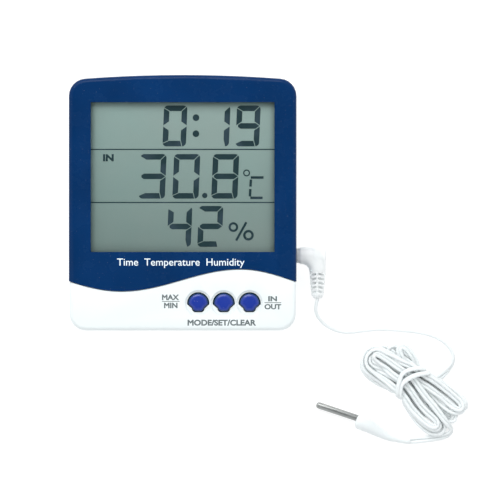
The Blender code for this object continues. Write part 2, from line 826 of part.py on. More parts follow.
def build_plug():
    """The right-angled plug: its moulded body with a slotted strain relief, and its metal."""
    along = (PLUG_DOWN_X + 3.45, JACK_Y, JACK_Z)
    body = cylinder("plug_body", (50.2, JACK_Y, JACK_Z), along, PLUG_RADIUS, "white_vinyl")
    round_edges(body, 1.6)
    collar = cylinder("plug_collar", (49.3, JACK_Y, JACK_Z), (52.0, JACK_Y, JACK_Z), 3.05)
    top_y = JACK_Y + PLUG_RADIUS - 0.15
    down = cylinder(
        "plug_down", (PLUG_DOWN_X, top_y, JACK_Z), (PLUG_DOWN_X, RELIEF_START_Y, JACK_Z), 3.6
    )
    round_edges(down, 1.6)
    socket = cylinder("plug_bore", (45.0, JACK_Y, JACK_Z), (55.0, JACK_Y, JACK_Z), SLEEVE_RADIUS + 0.25)
    join(body, collar, down, strain_relief(), relief_web())
    cut(body, socket)
    set_origin_to_jack(body)
    build_plug_pin()


def strain_relief():
    """The ringed taper: full discs with grooves between them, down to the cord's bore wall."""
    profile = [(0.0, 1.5), (3.4, 1.5)]
    for number in range(RELIEF_SLOTS):
        high = -0.75 - RELIEF_PITCH * number
        low = high - RELIEF_SLOT
        profile += [
            (relief_radius(high), high),
            (1.95, high),
            (1.95, low),
            (relief_radius(low), low),
        ]
    length = RELIEF_START_Y - RELIEF_END_Y
    profile += [(2.6, -length + 0.9), (2.1, -length + 0.1), (1.7, -length - 0.5), (0.0, -length - 0.5)]
    return turned(
        "strain_relief", profile, (PLUG_DOWN_X, RELIEF_START_Y, JACK_Z), (0, 1, 0), steps=20
    )


def relief_radius(height):
    """The strain relief's outer radius, at a height (0 at its start, falling) along it."""
    return 3.5 + 0.085 * height


def relief_web():
    """The web along the middle of the strain relief, seen between its rings."""
    return box(
        "relief_web",
        (PLUG_DOWN_X - 0.6, RELIEF_END_Y + 0.9, JACK_Z - 2.55),
        (PLUG_DOWN_X + 0.6, RELIEF_START_Y + 1.0, JACK_Z + 2.55),
    )


def set_origin_to_jack(item):
    """Moves a plug part's origin onto the jack's axis, at the case wall."""
    bpy.context.view_layer.update()
    place = Vector((BODY_WIDTH / 2, JACK_Y, JACK_Z)) * MM
    world = item.matrix_world.copy()
    item.data.transform(Matrix.Translation(-place) @ world)
    item.rotation_mode = "XYZ"
    item.matrix_world = Matrix.Translation(place)


def build_plug_pin():
    """The pin's sleeve, insulating ring and tip, on a centre rod inside the tip's length."""
    axis = (JACK_Y, JACK_Z)
    sleeve = cylinder("plug_sleeve", (41.2, *axis), (54.7, *axis), SLEEVE_RADIUS, "bright_metal")
    cut(sleeve, cylinder("sleeve_bore", (40.0, *axis), (48.3, *axis), 1.0, sides=16))
    ring = cylinder("plug_insulator", (39.7, *axis), (40.9, *axis), SLEEVE_RADIUS, "black_plastic")
    cut(ring, cylinder("insulator_bore", (39.0, *axis), (42.0, *axis), 1.0, sides=16))
    profile = [(0, 4.1), (0.6, 4.1), (1.5, 2.7), (1.5, 2.2), (1.1, 1.2), (1.75, 0.3)]
    profile += [(1.75, 0.0), (0.7, 0.0), (0.7, -8.0), (0, -8.0)]
    turned("plug_tip", profile, (39.4, *axis), (-1, 0, 0), "bright_metal")


# ---------------------------------------------------------------- cord and probe


def build_cord():
    run = smooth_route(RUN_ROUTE, CORD_SPACING)
    tail = smooth_route(TAIL_ROUTE, CORD_SPACING / 2)
    tube("cord_run", run, CORD_WIDTH / 2, "white_vinyl")
    tube("cord_tail", tail, CORD_WIDTH / 2, "white_vinyl")
    build_hank()


def hank_outline():
    """An hourglass with round ends, along its own X axis."""
    points = []
    steps = 40
    for step in range(steps):
        angle = 2 * math.pi * step / steps
        x = HANK_HALF_LENGTH * math.cos(angle)
        along = abs(x) / HANK_HALF_LENGTH
        flare = HANK_FLARE * math.sin(0.5 * math.pi * min(1.0, 1.5 * along)) ** 2
        width = (HANK_WAIST + flare) * (1.0 - along**4) ** 0.25
        points.append((x, math.copysign(width, math.sin(angle))))
    return points


def place_hank_piece(item):
    """Turns and moves a shape that is modelled along X at the origin onto the hank."""
    item.location.x = HANK_X * MM
    item.location.y = HANK_Y * MM
    item.rotation_euler.z = math.radians(HANK_TURN)
    return item


def build_hank():
    """The wound length's outer shape, with a groove where the tie goes round its waist."""
    hank = plate("cord_hank", hank_outline(), 0.0, HANK_THICK, "white_vinyl")
    groove = plate("tie_groove", round_box(-2.6, -12.0, 2.6, 12.0, 0.4, 2), -2.0, 10.0)
    core = plate("groove_core", round_box(-4.0, -7.0, 4.0, 7.0, 1.6, 3), 1.3, HANK_THICK - 1.0)
    tie = plate("cord_tie", round_box(-2.2, -8.3, 2.2, 8.3, 0.4, 2), 0.0, HANK_THICK, "white_vinyl")
    opening = box("tie_opening", (-4.0, -7.3, 1.0), (4.0, 7.3, HANK_THICK - 0.7))
    for item in (hank, groove, core, tie):
        place_hank_piece(item)
    cut(groove, core)
    cut(hank, groove)
    cut(tie, place_hank_piece(opening))


def build_probe():
    """The moulded sleeve on the cord's end, and the steel tube with its sensor bead."""
    face = Vector(TUBE_FACE)
    tip = Vector(TUBE_TIP)
    axis = (tip - face).normalized()
    centres = [(x, y, radius + 0.02) for x, y, radius in PROBE_SLEEVE_ROUTE]
    curve = tube_curve("probe_sleeve", centres, 1.0, resolution=4)
    for point, (_, _, radius) in zip(curve.splines[0].points, PROBE_SLEEVE_ROUTE):
        point.radius = radius
    sleeve = mesh_from_curve("probe_sleeve", curve, "white_vinyl")
    cut(sleeve, cylinder("probe_bore", face - axis * (TUBE_INSERT + GAP), face + axis * 3.0, 1.6))
    length = (tip - face).length + TUBE_INSERT
    profile = [
        (0.0, length),
        (0.7, length - 0.1),
        (1.2, length - 0.5),
        (TUBE_RADIUS, length - 1.2),
        (TUBE_RADIUS, 0.0),
        (TUBE_BORE, 0.0),
        (TUBE_BORE, length - 1.3),
        (0.0, length - 0.9),
    ]
    start = face - axis * TUBE_INSERT
    turned("probe_tube", profile, start, axis, "steel_tube")
    cylinder("probe_thermistor", tip - axis * 5.0, tip - axis * 2.0, 0.8, "sensor_bead", sides=12)


def main():
    clear_scene()
    make_collections()
    make_materials()
    build_bezel()
    build_front_cover()
    build_back_cover()
    build_case_screws()
    build_display()
    build_board()
    build_board_parts()
    build_jack()
    build_keys()
    build_stand_leg()
    build_battery_door()
    build_battery()
    build_plug()
    build_cord()
    build_probe()


main()
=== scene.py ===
"""Studio view of a digital clock and thermo-hygrometer that lies on its back, with its probe lead.

Sizes in the constants are millimetres, in the CAD model's frame, and the shape helpers turn
them into metres. The display faces +Z and its top edge faces +Y.
"""

import math

import bmesh
import bpy
import numpy as np
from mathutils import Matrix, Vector


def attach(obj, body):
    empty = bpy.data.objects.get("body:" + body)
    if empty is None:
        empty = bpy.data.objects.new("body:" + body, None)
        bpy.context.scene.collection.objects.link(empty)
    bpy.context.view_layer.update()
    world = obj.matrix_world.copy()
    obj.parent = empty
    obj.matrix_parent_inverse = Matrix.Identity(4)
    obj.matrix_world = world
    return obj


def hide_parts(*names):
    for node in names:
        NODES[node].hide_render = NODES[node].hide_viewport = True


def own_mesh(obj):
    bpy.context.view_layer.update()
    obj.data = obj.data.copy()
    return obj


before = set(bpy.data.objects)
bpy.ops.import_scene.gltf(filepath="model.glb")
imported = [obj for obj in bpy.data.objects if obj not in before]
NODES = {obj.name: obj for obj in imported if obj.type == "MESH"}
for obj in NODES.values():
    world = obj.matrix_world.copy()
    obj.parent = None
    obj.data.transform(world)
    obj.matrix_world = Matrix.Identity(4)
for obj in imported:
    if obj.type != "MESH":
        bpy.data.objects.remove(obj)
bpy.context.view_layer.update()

MM = 0.001

# Camera: straight above the middle of what it sees, whose width it shows at the subject's height
CAMERA_X = 28.97
CAMERA_Y = -20.36
CAMERA_HEIGHT = 2000.0
VIEW_WIDTH = 215.4
SUBJECT_HEIGHT = 18.0
SENSOR_WIDTH = 36.0

# Liquid crystal display: its window's edges (left, bottom, right, top) and its dark marks
WINDOW = (-39.5, -21.2, 39.5, 43.2)
INK_LOW = 19.403
INK_HIGH = 19.44
SEGMENT_THICK = 2.4
SEGMENT_GAP = 0.3
DIGIT_LEAN = 0.042
# Its film's colours: at the bottom and the top (painted shade, darker lower down), in clouds, and a
# painted shade under the window's edges
FILM_LOW = (0.162, 0.238, 0.219)
FILM_HIGH = (0.247, 0.368, 0.340)
FILM_CLOUD = (0.250, 0.290, 0.265)
FILM_SHADE = (0.03, 0.06, 0.07)
FILM_SHADE_WIDTH = 2.2
# Each digit: which of its seven segments are dark, left, bottom, width, height
DIGITS = (
    ("abcdef", -8.75, 24.25, 10.1, 17.6),
    ("bc", 9.75, 24.25, 10.1, 17.6),
    ("abcdfg", 22.65, 24.25, 10.2, 17.6),
    ("abcdg", -19.0, 1.75, 11.3, 19.2),
    ("abcdef", -4.5, 1.75, 11.3, 19.2),
    ("abcdefg", 12.25, 1.75, 11.3, 19.2),
    ("bcfg", -6.85, -18.95, 10.3, 17.4),
    ("abdeg", 6.25, -19.0, 10.55, 17.6),
)
# Round marks: x, y, outer radius, inner radius
LCD_ROUNDS = (
    (5.7, 36.6, 1.45, 0.0),
    (5.7, 29.7, 1.45, 0.0),
    (9.5, 3.1, 1.15, 0.0),
    (27.5, 12.8, 1.5, 0.95),
    (21.8, -10.5, 2.1, 1.15),
    (28.3, -14.0, 2.3, 1.25),
)
# Straight marks: ends and thickness
LCD_BARS = (
    ((-39.5, 22.95), (39.5, 22.95), 0.5),
    ((-39.5, 0.1), (39.5, 0.1), 0.5),
    ((23.0, -16.3), (27.4, -8.4), 1.0),
    ((29.3, 10.85), (34.8, 10.85), 1.1),
    ((29.4, 10.0), (29.15, 6.9), 1.1),
    ((29.1, 5.9), (28.95, 2.7), 1.1),
    ((29.1, 2.1), (34.4, 2.1), 1.1),
)

# Printed words: the heights of the surfaces under them, and how thick the ink is
LEGEND_HEIGHT = 22.0
LABEL_HEIGHT = 21.7
PRINT_THICK = 0.03

# Keys: a round head, a narrower foot (x, y), and a crown above a straight side
KEY_XS = (6.7, 17.7, 28.8)
KEY_Y = -43.3
KEY_NAMES = ("max_min", "mode_set", "in_out")
KEY_HEAD_RADIUS = 4.8
KEY_FOOT = (
    ((-2.75, -2.15), (-2.55, -3.0), (-1.75, -3.75))
    + ((1.75, -3.75), (2.55, -3.0), (2.75, -2.15))
)
KEY_POINTS = 72
KEY_SCALE = 0.885
KEY_BOTTOM = 18.35
KEY_SHOULDER = 21.3
CROWN_HEIGHT = 1.25
CROWN_STEPS = 12
CROWN_FULLNESS = 0.62
# Painted shade: darker blue round a key's foot, where it sits in its hole, fading out between two
# heights
KEY_PAINTED_SHADE = ((0.003, 0.040, 0.100), 21.6, 22.15)
# The flange that keeps each key in the case: radius and height round its section
KEY_FLANGE = ((4.8, 18.3), (5.1, 18.3), (5.2, 18.4), (5.2, 19.4), (5.1, 19.5), (4.8, 19.5))
# The dome under each key: radius and height down its outside and up its inside
DOME_BASE = 15.3
DOME_PROFILE = (
    ((0.2, 2.7), (1.4, 2.7), (1.75, 2.6), (1.95, 2.35), (2.4, 1.75), (2.9, 0.85), (3.1, 0.5))
    + ((3.4, 0.4), (3.6, 0.3), (3.6, 0.0), (3.0, 0.0), (2.5, 0.6), (1.9, 1.7), (0.2, 1.7))
)

# Plug: one arm along X out of the jack, one down along Y, each past the other's axis by its
# reach, and an elbow between them
JACK_Y = -22.8
JACK_Z = 10.0
PLUG_DOWN_X = 58.26
PLUG_RADIUS = 3.6
PLUG_START_X = 50.15
PLUG_REACH_X = 3.5
PLUG_REACH_Y = 3.4
ELBOW_INSIDE = 4.0
ELBOW_RADIUS = 7.45
ELBOW_THICK = 3.43
COLLAR_X = (49.05, 53.0)
COLLAR_RADIUS = 3.15
BORE_X = (40.0, 55.0)
BORE_RADIUS = 2.0
# The block where its field is sampled: ends along X, room beside the arms, and pitch
BLOCK_X = (48.9, 62.4)
BLOCK_ROOM = 4.2
BLOCK_PITCH = 0.15
# Its ringed strain relief: a taper with five slots a side, and a web between the sides
RELIEF_START_Y = -30.2
RELIEF_END_Y = -40.3
RELIEF_RADIUS = 3.5
RELIEF_TAPER = 0.085
LAST_SLOT = 4
SLOT_START = 0.55
SLOT_PITCH = 1.88
SLOT_CURVE = 0.09
SLOT_HALF = 0.42
WEB_HALF = 0.45
WEB_SHIFT = 0.25
CORE_SHARE = 0.45

# Cord: two round cores side by side, on edge or lying flat
CORE_RADIUS = 0.76
CORE_OFFSET = 0.72
CORD_STEP = 0.9
EDGE = 0.0
FLAT = 90.0
# How it settles, for each step: pull home, fall, stiffness, and push between cores that meet
SETTLING_STEPS = 80
HOME_PULL = 0.03
FALL = 0.05
STIFFNESS = 0.08
CORE_GAP = 1.48
PUSH = 0.35
FLOOR_GAP = 0.02
# Room inside the tie: half its length along the hank, half its width, and its top
TIE_LENGTH = 2.5
TIE_INSIDE = 7.4
TIE_TOP = 6.6


# ---------------------------------------- materials


class Surface:
    """A new material, and short ways to make its nodes."""

    def __init__(self, name):
        self.material = bpy.data.materials.new(name)
        self.material.use_nodes = True
        self.nodes = self.material.node_tree.nodes
        self.links = self.material.node_tree.links
        self.place = self.nodes.new("ShaderNodeTexCoord").outputs["Object"]

    def axis(self, name):
        """The place along one axis, in metres."""
        split = self.nodes.new("ShaderNodeSeparateXYZ")
        self.links.new(self.place, split.inputs["Vector"])
        return split.outputs[name]

    def noise(self, scale, detail=2.0, place=None):
        """A noise texture's value, in cycles to the metre."""
        texture = self.nodes.new("ShaderNodeTexNoise")
        texture.inputs["Scale"].default_value = scale
        texture.inputs["Detail"].default_value = detail
        self.links.new(place or self.place, texture.inputs["Vector"])
        return texture.outputs["Fac"]

    def spread(self, value, low, high, from_low=0.3, from_high=0.7):
        """Stretches a value from one range onto another, by default from most of a noise's."""
        node = self.nodes.new("ShaderNodeMapRange")
        node.inputs["From Min"].default_value = from_low
        node.inputs["From Max"].default_value = from_high
        node.inputs["To Min"].default_value = low
        node.inputs["To Max"].default_value = high
        self.links.new(value, node.inputs["Value"])
        return node.outputs["Result"]

    def mix(self, factor, first, second):
        """A colour between two, each a tuple or another node's output."""
        node = self.nodes.new("ShaderNodeMix")
        node.data_type = "RGBA"
        sockets = [socket for socket in node.inputs if socket.type == "RGBA"]
        for socket, colour in zip(sockets, (first, second)):
            if isinstance(colour, tuple):
                socket.default_value = (*colour, 1.0)
            else:
                self.links.new(colour, socket)
        share = next(s for s in node.inputs if s.name == "Factor" and s.type == "VALUE")
        self.links.new(factor, share)
        return next(s for s in node.outputs if s.type == "RGBA")

    def bump(self, height, strength, distance):
        """The normal, roughened by a height over a distance in metres."""
        node = self.nodes.new("ShaderNodeBump")
        node.inputs["Strength"].default_value = strength
        node.inputs["Distance"].default_value = distance
        self.links.new(height, node.inputs["Height"])
        return node.outputs["Normal"]

    def dressed(self, **sockets):
        """The material, with its shader's sockets set to plain values or other nodes' outputs."""
        for name, value in sockets.items():
            socket = self.nodes["Principled BSDF"].inputs[name.replace("_", " ")]
            if isinstance(value, bpy.types.NodeSocket):
                self.links.new(value, socket)
            else:
                socket.default_value = value
        return self.material


def moulded(
    name, colour, roughness, tone=0.05, grain=0.15, grain_scale=2600.0, painted_shade=None, **sockets
):
    """A moulded surface: colour with a faint mottle and specks, uneven gloss and a fine grain, and
    painted shade below a height where given.
    """
    look = Surface(name)
    darker = tuple(c * (1 - tone) for c in colour)
    lighter = tuple(min(1.0, c * (1 + tone)) for c in colour)
    base = look.mix(look.spread(look.noise(38.0, 3.0), 0.0, 1.0), darker, lighter)
    speck = look.spread(look.noise(1500.0), 0.0, 1.0, 0.68, 0.8)
    base = look.mix(speck, base, tuple(0.8 * c + 0.1 for c in colour))
    # Painted shade: darker colour low down, fading out between two heights
    if painted_shade:
        shade, low, high = painted_shade
        base = look.mix(look.spread(look.axis("Z"), 0.0, 1.0, low * MM, high * MM), shade, base)
    gloss = look.spread(look.noise(160.0, 4.0), roughness * 0.85, min(1.0, roughness * 1.2))
    normal = look.bump(look.noise(grain_scale, 3.0), grain, 2e-5)
    return look.dressed(Base_Color=base, Roughness=gloss, Normal=normal, **sockets)


def brushed(name, colour, roughness):
    """A metal with fine lines drawn along X."""
    look = Surface(name)
    mapping = look.nodes.new("ShaderNodeMapping")
    mapping.inputs["Scale"].default_value = (60.0, 2500.0, 2500.0)
    look.links.new(look.place, mapping.inputs["Vector"])
    lines = look.noise(1.0, 4.0, mapping.outputs["Vector"])
    base = look.mix(look.spread(lines, 0.0, 1.0), tuple(0.72 * c for c in colour), colour)
    gloss = look.spread(lines, roughness * 0.8, roughness * 1.3)
    normal = look.bump(lines, 0.25, 1e-5)
    return look.dressed(Base_Color=base, Roughness=gloss, Normal=normal, Metallic=1.0)


def clear_plastic(name, colour, alpha):
    """A clear window: thin and glossy, with a faint haze."""
    look = Surface(name)
    return look.dressed(
        Base_Color=(*colour, 1.0),
        Roughness=look.spread(look.noise(90.0, 4.0), 0.05, 0.12),
        Alpha=alpha,
        Specular_IOR_Level=0.6,
    )


def display_film(name):
    """The display's reflective film: grey-green, with painted shade that makes it darker lower down
    and under the window's edges.
    """
    look = Surface(name)
    _, bottom, right, top = WINDOW
    height = look.axis("Y")
    # Painted shade: the film darkens towards the bottom of the window
    base = look.mix(look.spread(height, 0.0, 1.0, bottom * MM, top * MM), FILM_LOW, FILM_HIGH)
    base = look.mix(look.spread(look.noise(26.0, 3.0), 0.0, 0.35), base, FILM_CLOUD)
    sides = look.nodes.new("ShaderNodeMath")
    sides.operation = "ABSOLUTE"
    look.links.new(look.axis("X"), sides.inputs[0])
    # Painted shade: darker just inside the window's side edges and its top edge
    for value, edge, depth in ((sides.outputs["Value"], right, 0.45), (height, top, 0.6)):
        near = look.spread(value, 0.0, depth, (edge - FILM_SHADE_WIDTH) * MM, edge * MM)
        base = look.mix(near, base, FILM_SHADE)
    normal = look.bump(look.noise(4000.0), 0.1, 1e-5)
    return look.dressed(Base_Color=base, Roughness=0.55, Normal=normal)


def display_ink(name):
    """Dark liquid crystal, a little bluer where it is switched less fully."""
    look = Surface(name)
    cloud = look.spread(look.noise(95.0), 0.0, 1.0, 0.42, 0.62)
    base = look.mix(cloud, (0.0115, 0.034, 0.040), (0.026, 0.050, 0.066))
    return look.dressed(Base_Color=base, Roughness=0.5, Specular_IOR_Level=0.2)


def make_materials():
    """One material for each of the record's slots, and four more looks for pieces in them."""
    return {
        "blue_case": moulded(
            "blue_case_gloss", (0.0004, 0.0262, 0.106), 0.26, 0.12, Specular_IOR_Level=0.1
        ),
        "white_case": moulded("white_case_gloss", (0.78, 0.83, 0.835), 0.38, 0.012),
        "blue_key": moulded("blue_key_gloss", (0.009, 0.032, 0.284), 0.2, 0.08, painted_shade=KEY_PAINTED_SHADE),
        "clear_lens": clear_plastic("clear_lens_gloss", (0.02, 0.03, 0.03), 0.05),
        "lcd_glass": clear_plastic("lcd_glass_gloss", (0.5, 0.6, 0.58), 0.35),
        "lcd_film": display_film("lcd_film_grey"),
        "holder_plastic": moulded("holder_black", (0.03, 0.035, 0.04), 0.5),
        "zebra_rubber": moulded("zebra_rubber_pink", (0.42, 0.20, 0.24), 0.7),
        "green_board": moulded("board_green", (0.015, 0.13, 0.05), 0.4, 0.2),
        "black_plastic": moulded("black_moulding", (0.014, 0.014, 0.016), 0.45, 0.15),
        "silicone": moulded("silicone_grey", (0.55, 0.57, 0.57), 0.62),
        "bright_metal": brushed("nickel_plate", (0.72, 0.71, 0.68), 0.25),
        "zinc_screw": brushed("zinc_plate", (0.58, 0.58, 0.55), 0.36),
        "gold_contact": brushed("gold_plate", (0.80, 0.58, 0.25), 0.28),
        "battery_label": moulded("battery_sleeve", (0.02, 0.08, 0.13), 0.3, 0.1),
        "white_vinyl": moulded(
            "white_vinyl_soft", (0.79, 0.825, 0.83), 0.42, 0.02, 0.1, 1800.0,
            Subsurface_Weight=0.4, Subsurface_Radius=(1.0, 1.0, 1.0), Subsurface_Scale=0.0012,
        ),
        "steel_tube": brushed("steel_probe", (0.46, 0.47, 0.46), 0.42),
        "sensor_bead": moulded("sensor_epoxy", (0.22, 0.05, 0.02), 0.35, 0.15),
        "lcd_ink": display_ink("lcd_ink_dark"),
        "plug_white": moulded(
            "plug_white_gloss", (0.79, 0.81, 0.81), 0.4, 0.015,
            Subsurface_Weight=0.8, Subsurface_Radius=(1.0, 1.0, 1.0), Subsurface_Scale=0.003,
        ),
        "label_ink": moulded("label_ink_grey", (0.12, 0.145, 0.15), 0.55),
        "legend_white": moulded("legend_ink_white", (0.80, 0.88, 0.92), 0.5),
    }


def soften(node, width):
    """Welds a CAD node's facets and rounds its sharp edges a little, as a mould does."""
    weld = node.modifiers.new("weld", "WELD")
    weld.merge_threshold = 1e-6
    flats = node.modifiers.new("flats", "DECIMATE")
    flats.decimate_type = "DISSOLVE"
    flats.angle_limit = math.radians(0.5)
    bevel = node.modifiers.new("edge", "BEVEL")
    bevel.width = width * MM
    bevel.segments = 2
    bevel.limit_method = "ANGLE"
    bevel.angle_limit = math.radians(32.0)
    bevel.harden_normals = True
    node.data.shade_smooth()


def dress_nodes(materials):
    """Gives each CAD node its slot's material and soft edges, wider on the case's shells."""
    for name, node in NODES.items():
        slot_name = node.material_slots[0].material.name.split(".")[0]
        node.material_slots[0].material = materials[slot_name]
        soften(node, 0.15 if name in ("bezel", "front_cover", "back_cover") else 0.08)
    NODES["lcd_front_polariser"].material_slots[0].material = materials["lcd_film"]


# ---------------------------------------- shape helpers


def add_piece(name, bm, body, slot_name, materials, sharp=40.0, look=None):
    """A piece that rides on a CAD body, in its slot's material or another look of it.

    Edges sharper than an angle in degrees stay sharp, and at 0 every face is flat.
    """
    mesh = bpy.data.meshes.new(name)
    bmesh.ops.recalc_face_normals(bm, faces=bm.faces)
    bm.to_mesh(mesh)
    bm.free()
    if sharp:
        mesh.shade_smooth()
        mesh.set_sharp_from_angle(angle=math.radians(sharp))
    item = bpy.data.objects.new(name, mesh)
    bpy.context.scene.collection.objects.link(item)
    mesh.materials.append(materials[look or slot_name])
    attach(item, body)
    return item


def prism(bm, outline, low, high):
    """A closed plate of a flat outline, in millimetres."""
    lower = [bm.verts.new((x * MM, y * MM, low * MM)) for x, y in outline]
    upper = [bm.verts.new((x * MM, y * MM, high * MM)) for x, y in outline]
    bm.faces.new(upper)
    bm.faces.new(lower[::-1])
    for index in range(len(outline)):
        after = (index + 1) % len(outline)
        bm.faces.new((lower[index], lower[after], upper[after], upper[index]))


def loft(bm, rings, closed=False):
    """Joins rings of points, in metres, with quads, and caps the ends or joins them."""
    made = [[bm.verts.new(point) for point in ring] for ring in rings]
    pairs = list(zip(made, made[1:]))
    if closed:
        pairs.append((made[-1], made[0]))
    else:
        bm.faces.new(made[0][::-1])
        bm.faces.new(made[-1])
    for first, second in pairs:
        count = len(first)
        for index in range(count):
            after = (index + 1) % count
            bm.faces.new((first[index], first[after], second[after], second[index]))


def travelled(points):
    """The distance along a line of points to each of them."""
    lengths = np.linalg.norm(np.diff(points[:, :3], axis=0), axis=1)
    return np.concatenate([[0.0], np.cumsum(lengths)])


def evenly(points, count):
    """A line of points, taken again in equal steps."""
    distances = travelled(points)
    places = np.linspace(0.0, distances[-1], count + 1)
    return np.column_stack([np.interp(places, distances, column) for column in points.T])


def spline(points, spacing):
    """Evenly spaced points on the smooth (Catmull-Rom) curve through rows of any length."""
    knots = np.array(points, float)
    knots = np.vstack([2 * knots[0] - knots[1], knots, 2 * knots[-1] - knots[-2]])
    fine = [knots[1]]
    for before, start, end, after in zip(knots, knots[1:], knots[2:], knots[3:]):
        steps = max(2, int(np.linalg.norm(end[:3] - start[:3]) / spacing * 4))
        for step in range(1, steps + 1):
            t = step / steps
            point = 2 * start + (end - before) * t
            point += (2 * before - 5 * start + 4 * end - after) * t**2
            point += (3 * start - before - 3 * end + after) * t**3
            fine.append(0.5 * point)
    fine = np.array(fine)
    return evenly(fine, max(2, int(round(travelled(fine)[-1] / spacing))))


def unit(vectors):
    """The vectors, each at a length of one."""
    return vectors / np.linalg.norm(vectors, axis=-1, keepdims=True)


# ---------------------------------------- display


def clipped(outline, a, b, c):
    """The part of a convex outline where a*x + b*y >= c."""
    kept = []
    for (x1, y1), (x2, y2) in zip(outline, outline[1:] + outline[:1]):
        d1 = a * x1 + b * y1 - c
        d2 = a * x2 + b * y2 - c
        if d1 >= 0:
            kept.append((x1, y1))
        if (d1 < 0) != (d2 < 0):
            t = d1 / (d1 - d2)
            kept.append((x1 + t * (x2 - x1), y1 + t * (y2 - y1)))
    return kept


def beside(outline, start, end, side):
    """The part of an outline to one side (+1 is left) of a line, half a gap away from it."""
    dx = end[0] - start[0]
    dy = end[1] - start[1]
    length = math.hypot(dx, dy)
    a = -side * dy / length
    b = side * dx / length
    return clipped(outline, a, b, a * start[0] + b * start[1] + SEGMENT_GAP / 2)


def rounded_off(outline, width, height, radius):
    """Trims an outline to a round-cornered rectangle with its corner at the origin."""
    for x, sx in ((radius, -1), (width - radius, 1)):
        for y, sy in ((radius, -1), (height - radius, 1)):
            for angle in (18, 45, 72):
                a = -sx * math.cos(math.radians(angle))
                b = -sy * math.sin(math.radians(angle))
                outline = clipped(outline, a, b, a * x + b * y - radius)
    return outline


def rectangle(left, bottom, right, top):
    """A rectangle's corners, in turn."""
    return [(left, bottom), (right, bottom), (right, top), (left, top)]


def segment_outlines(width, height):
    """The seven segments of one digit, with mitred ends and gaps between them."""
    t = SEGMENT_THICK
    middle = height / 2
    notch = 0.06  # half the gap between the upper and lower halves, at the digit's edge
    reach = middle + notch + 0.7 * t
    below = middle - notch - 0.7 * t
    top_left = ((0.0, height - 0.42 * t), (t, height - t))
    top_right = ((width - 0.1 * t, height - 0.1 * t), (width - t, height - t))
    low_left = ((0.0, 0.55 * t), (t, t))
    low_right = ((width - 0.72 * t, 0.0), (width - t, t))
    left_up = ((0.0, middle + notch), (t, reach))
    left_down = ((0.0, middle - notch), (t, below))
    right_up = ((width, middle + notch), (width - t, reach))
    right_down = ((width, middle - notch), (width - t, below))
    shapes = {
        "a": (rectangle(0, height - t, width, height), (top_left, 1), (top_right, -1)),
        "b": (rectangle(width - t, middle, width, height), (top_right, 1), (right_up, -1)),
        "c": (rectangle(width - t, 0, width, middle), (low_right, -1), (right_down, 1)),
        "d": (rectangle(0, 0, width, t), (low_left, -1), (low_right, 1)),
        "e": (rectangle(0, 0, t, middle), (low_left, 1), (left_down, -1)),
        "f": (rectangle(0, middle, t, height), (top_left, -1), (left_up, 1)),
        "g": (
            rectangle(0.8, middle - t / 2, width - 0.3, middle + t / 2),
            (left_up, -1),
            (left_down, 1),
            (right_up, 1),
            (right_down, -1),
        ),
    }
    outlines = {}
    for name, (outline, *cuts) in shapes.items():
        for (start, end), side in cuts:
            outline = beside(outline, start, end, side)
        outlines[name] = rounded_off(outline, width, height, 0.75 * t)
    return outlines


def build_digits(bm):
    """The dark segments of every digit, leaning a little to the right."""
    for dark, left, bottom, width, height in DIGITS:
        for name, outline in segment_outlines(width, height).items():
            if name in dark:
                placed = [(left + x + DIGIT_LEAN * y, bottom + y) for x, y in outline]
                prism(bm, placed, INK_LOW, INK_HIGH)


def circle(x, y, radius, steps=36):
    """A circle's points, in turn."""
    angles = [2 * math.pi * step / steps for step in range(steps)]
    return [(x + radius * math.cos(a), y + radius * math.sin(a)) for a in angles]


def level_ring(x, y, radius, z, steps=36):
    """A level circle's points, in metres."""
    return [Vector((px, py, z)) * MM for px, py in circle(x, y, radius, steps)]


def ring_plate(bm, x, y, outer, inner):
    """A closed flat ring."""
    section = ((outer, INK_LOW), (outer, INK_HIGH), (inner, INK_HIGH), (inner, INK_LOW))
    rings = [level_ring(x, y, radius, height) for radius, height in section]
    loft(bm, rings, closed=True)


def bar_outline(start, end, thick):
    """A straight bar's corners, in turn."""
    dx = end[0] - start[0]
    dy = end[1] - start[1]
    length = math.hypot(dx, dy)
    nx = -dy / length * thick / 2
    ny = dx / length * thick / 2
    ends = ((start, -1), (end, -1), (end, 1), (start, 1))
    return [(x + side * nx, y + side * ny) for (x, y), side in ends]


def build_display(materials):
    """The display's digits, marks and lines, as one thin solid piece."""
    bm = bmesh.new()
    build_digits(bm)
    for x, y, outer, inner in LCD_ROUNDS:
        if inner:
            ring_plate(bm, x, y, outer, inner)
        else:
            prism(bm, circle(x, y, outer), INK_LOW, INK_HIGH)
    for start, end, thick in LCD_BARS:
        prism(bm, bar_outline(start, end, thick), INK_LOW, INK_HIGH)
    add_piece("lcd_segments", bm, "case", "black_plastic", materials, sharp=0.0, look="lcd_ink")


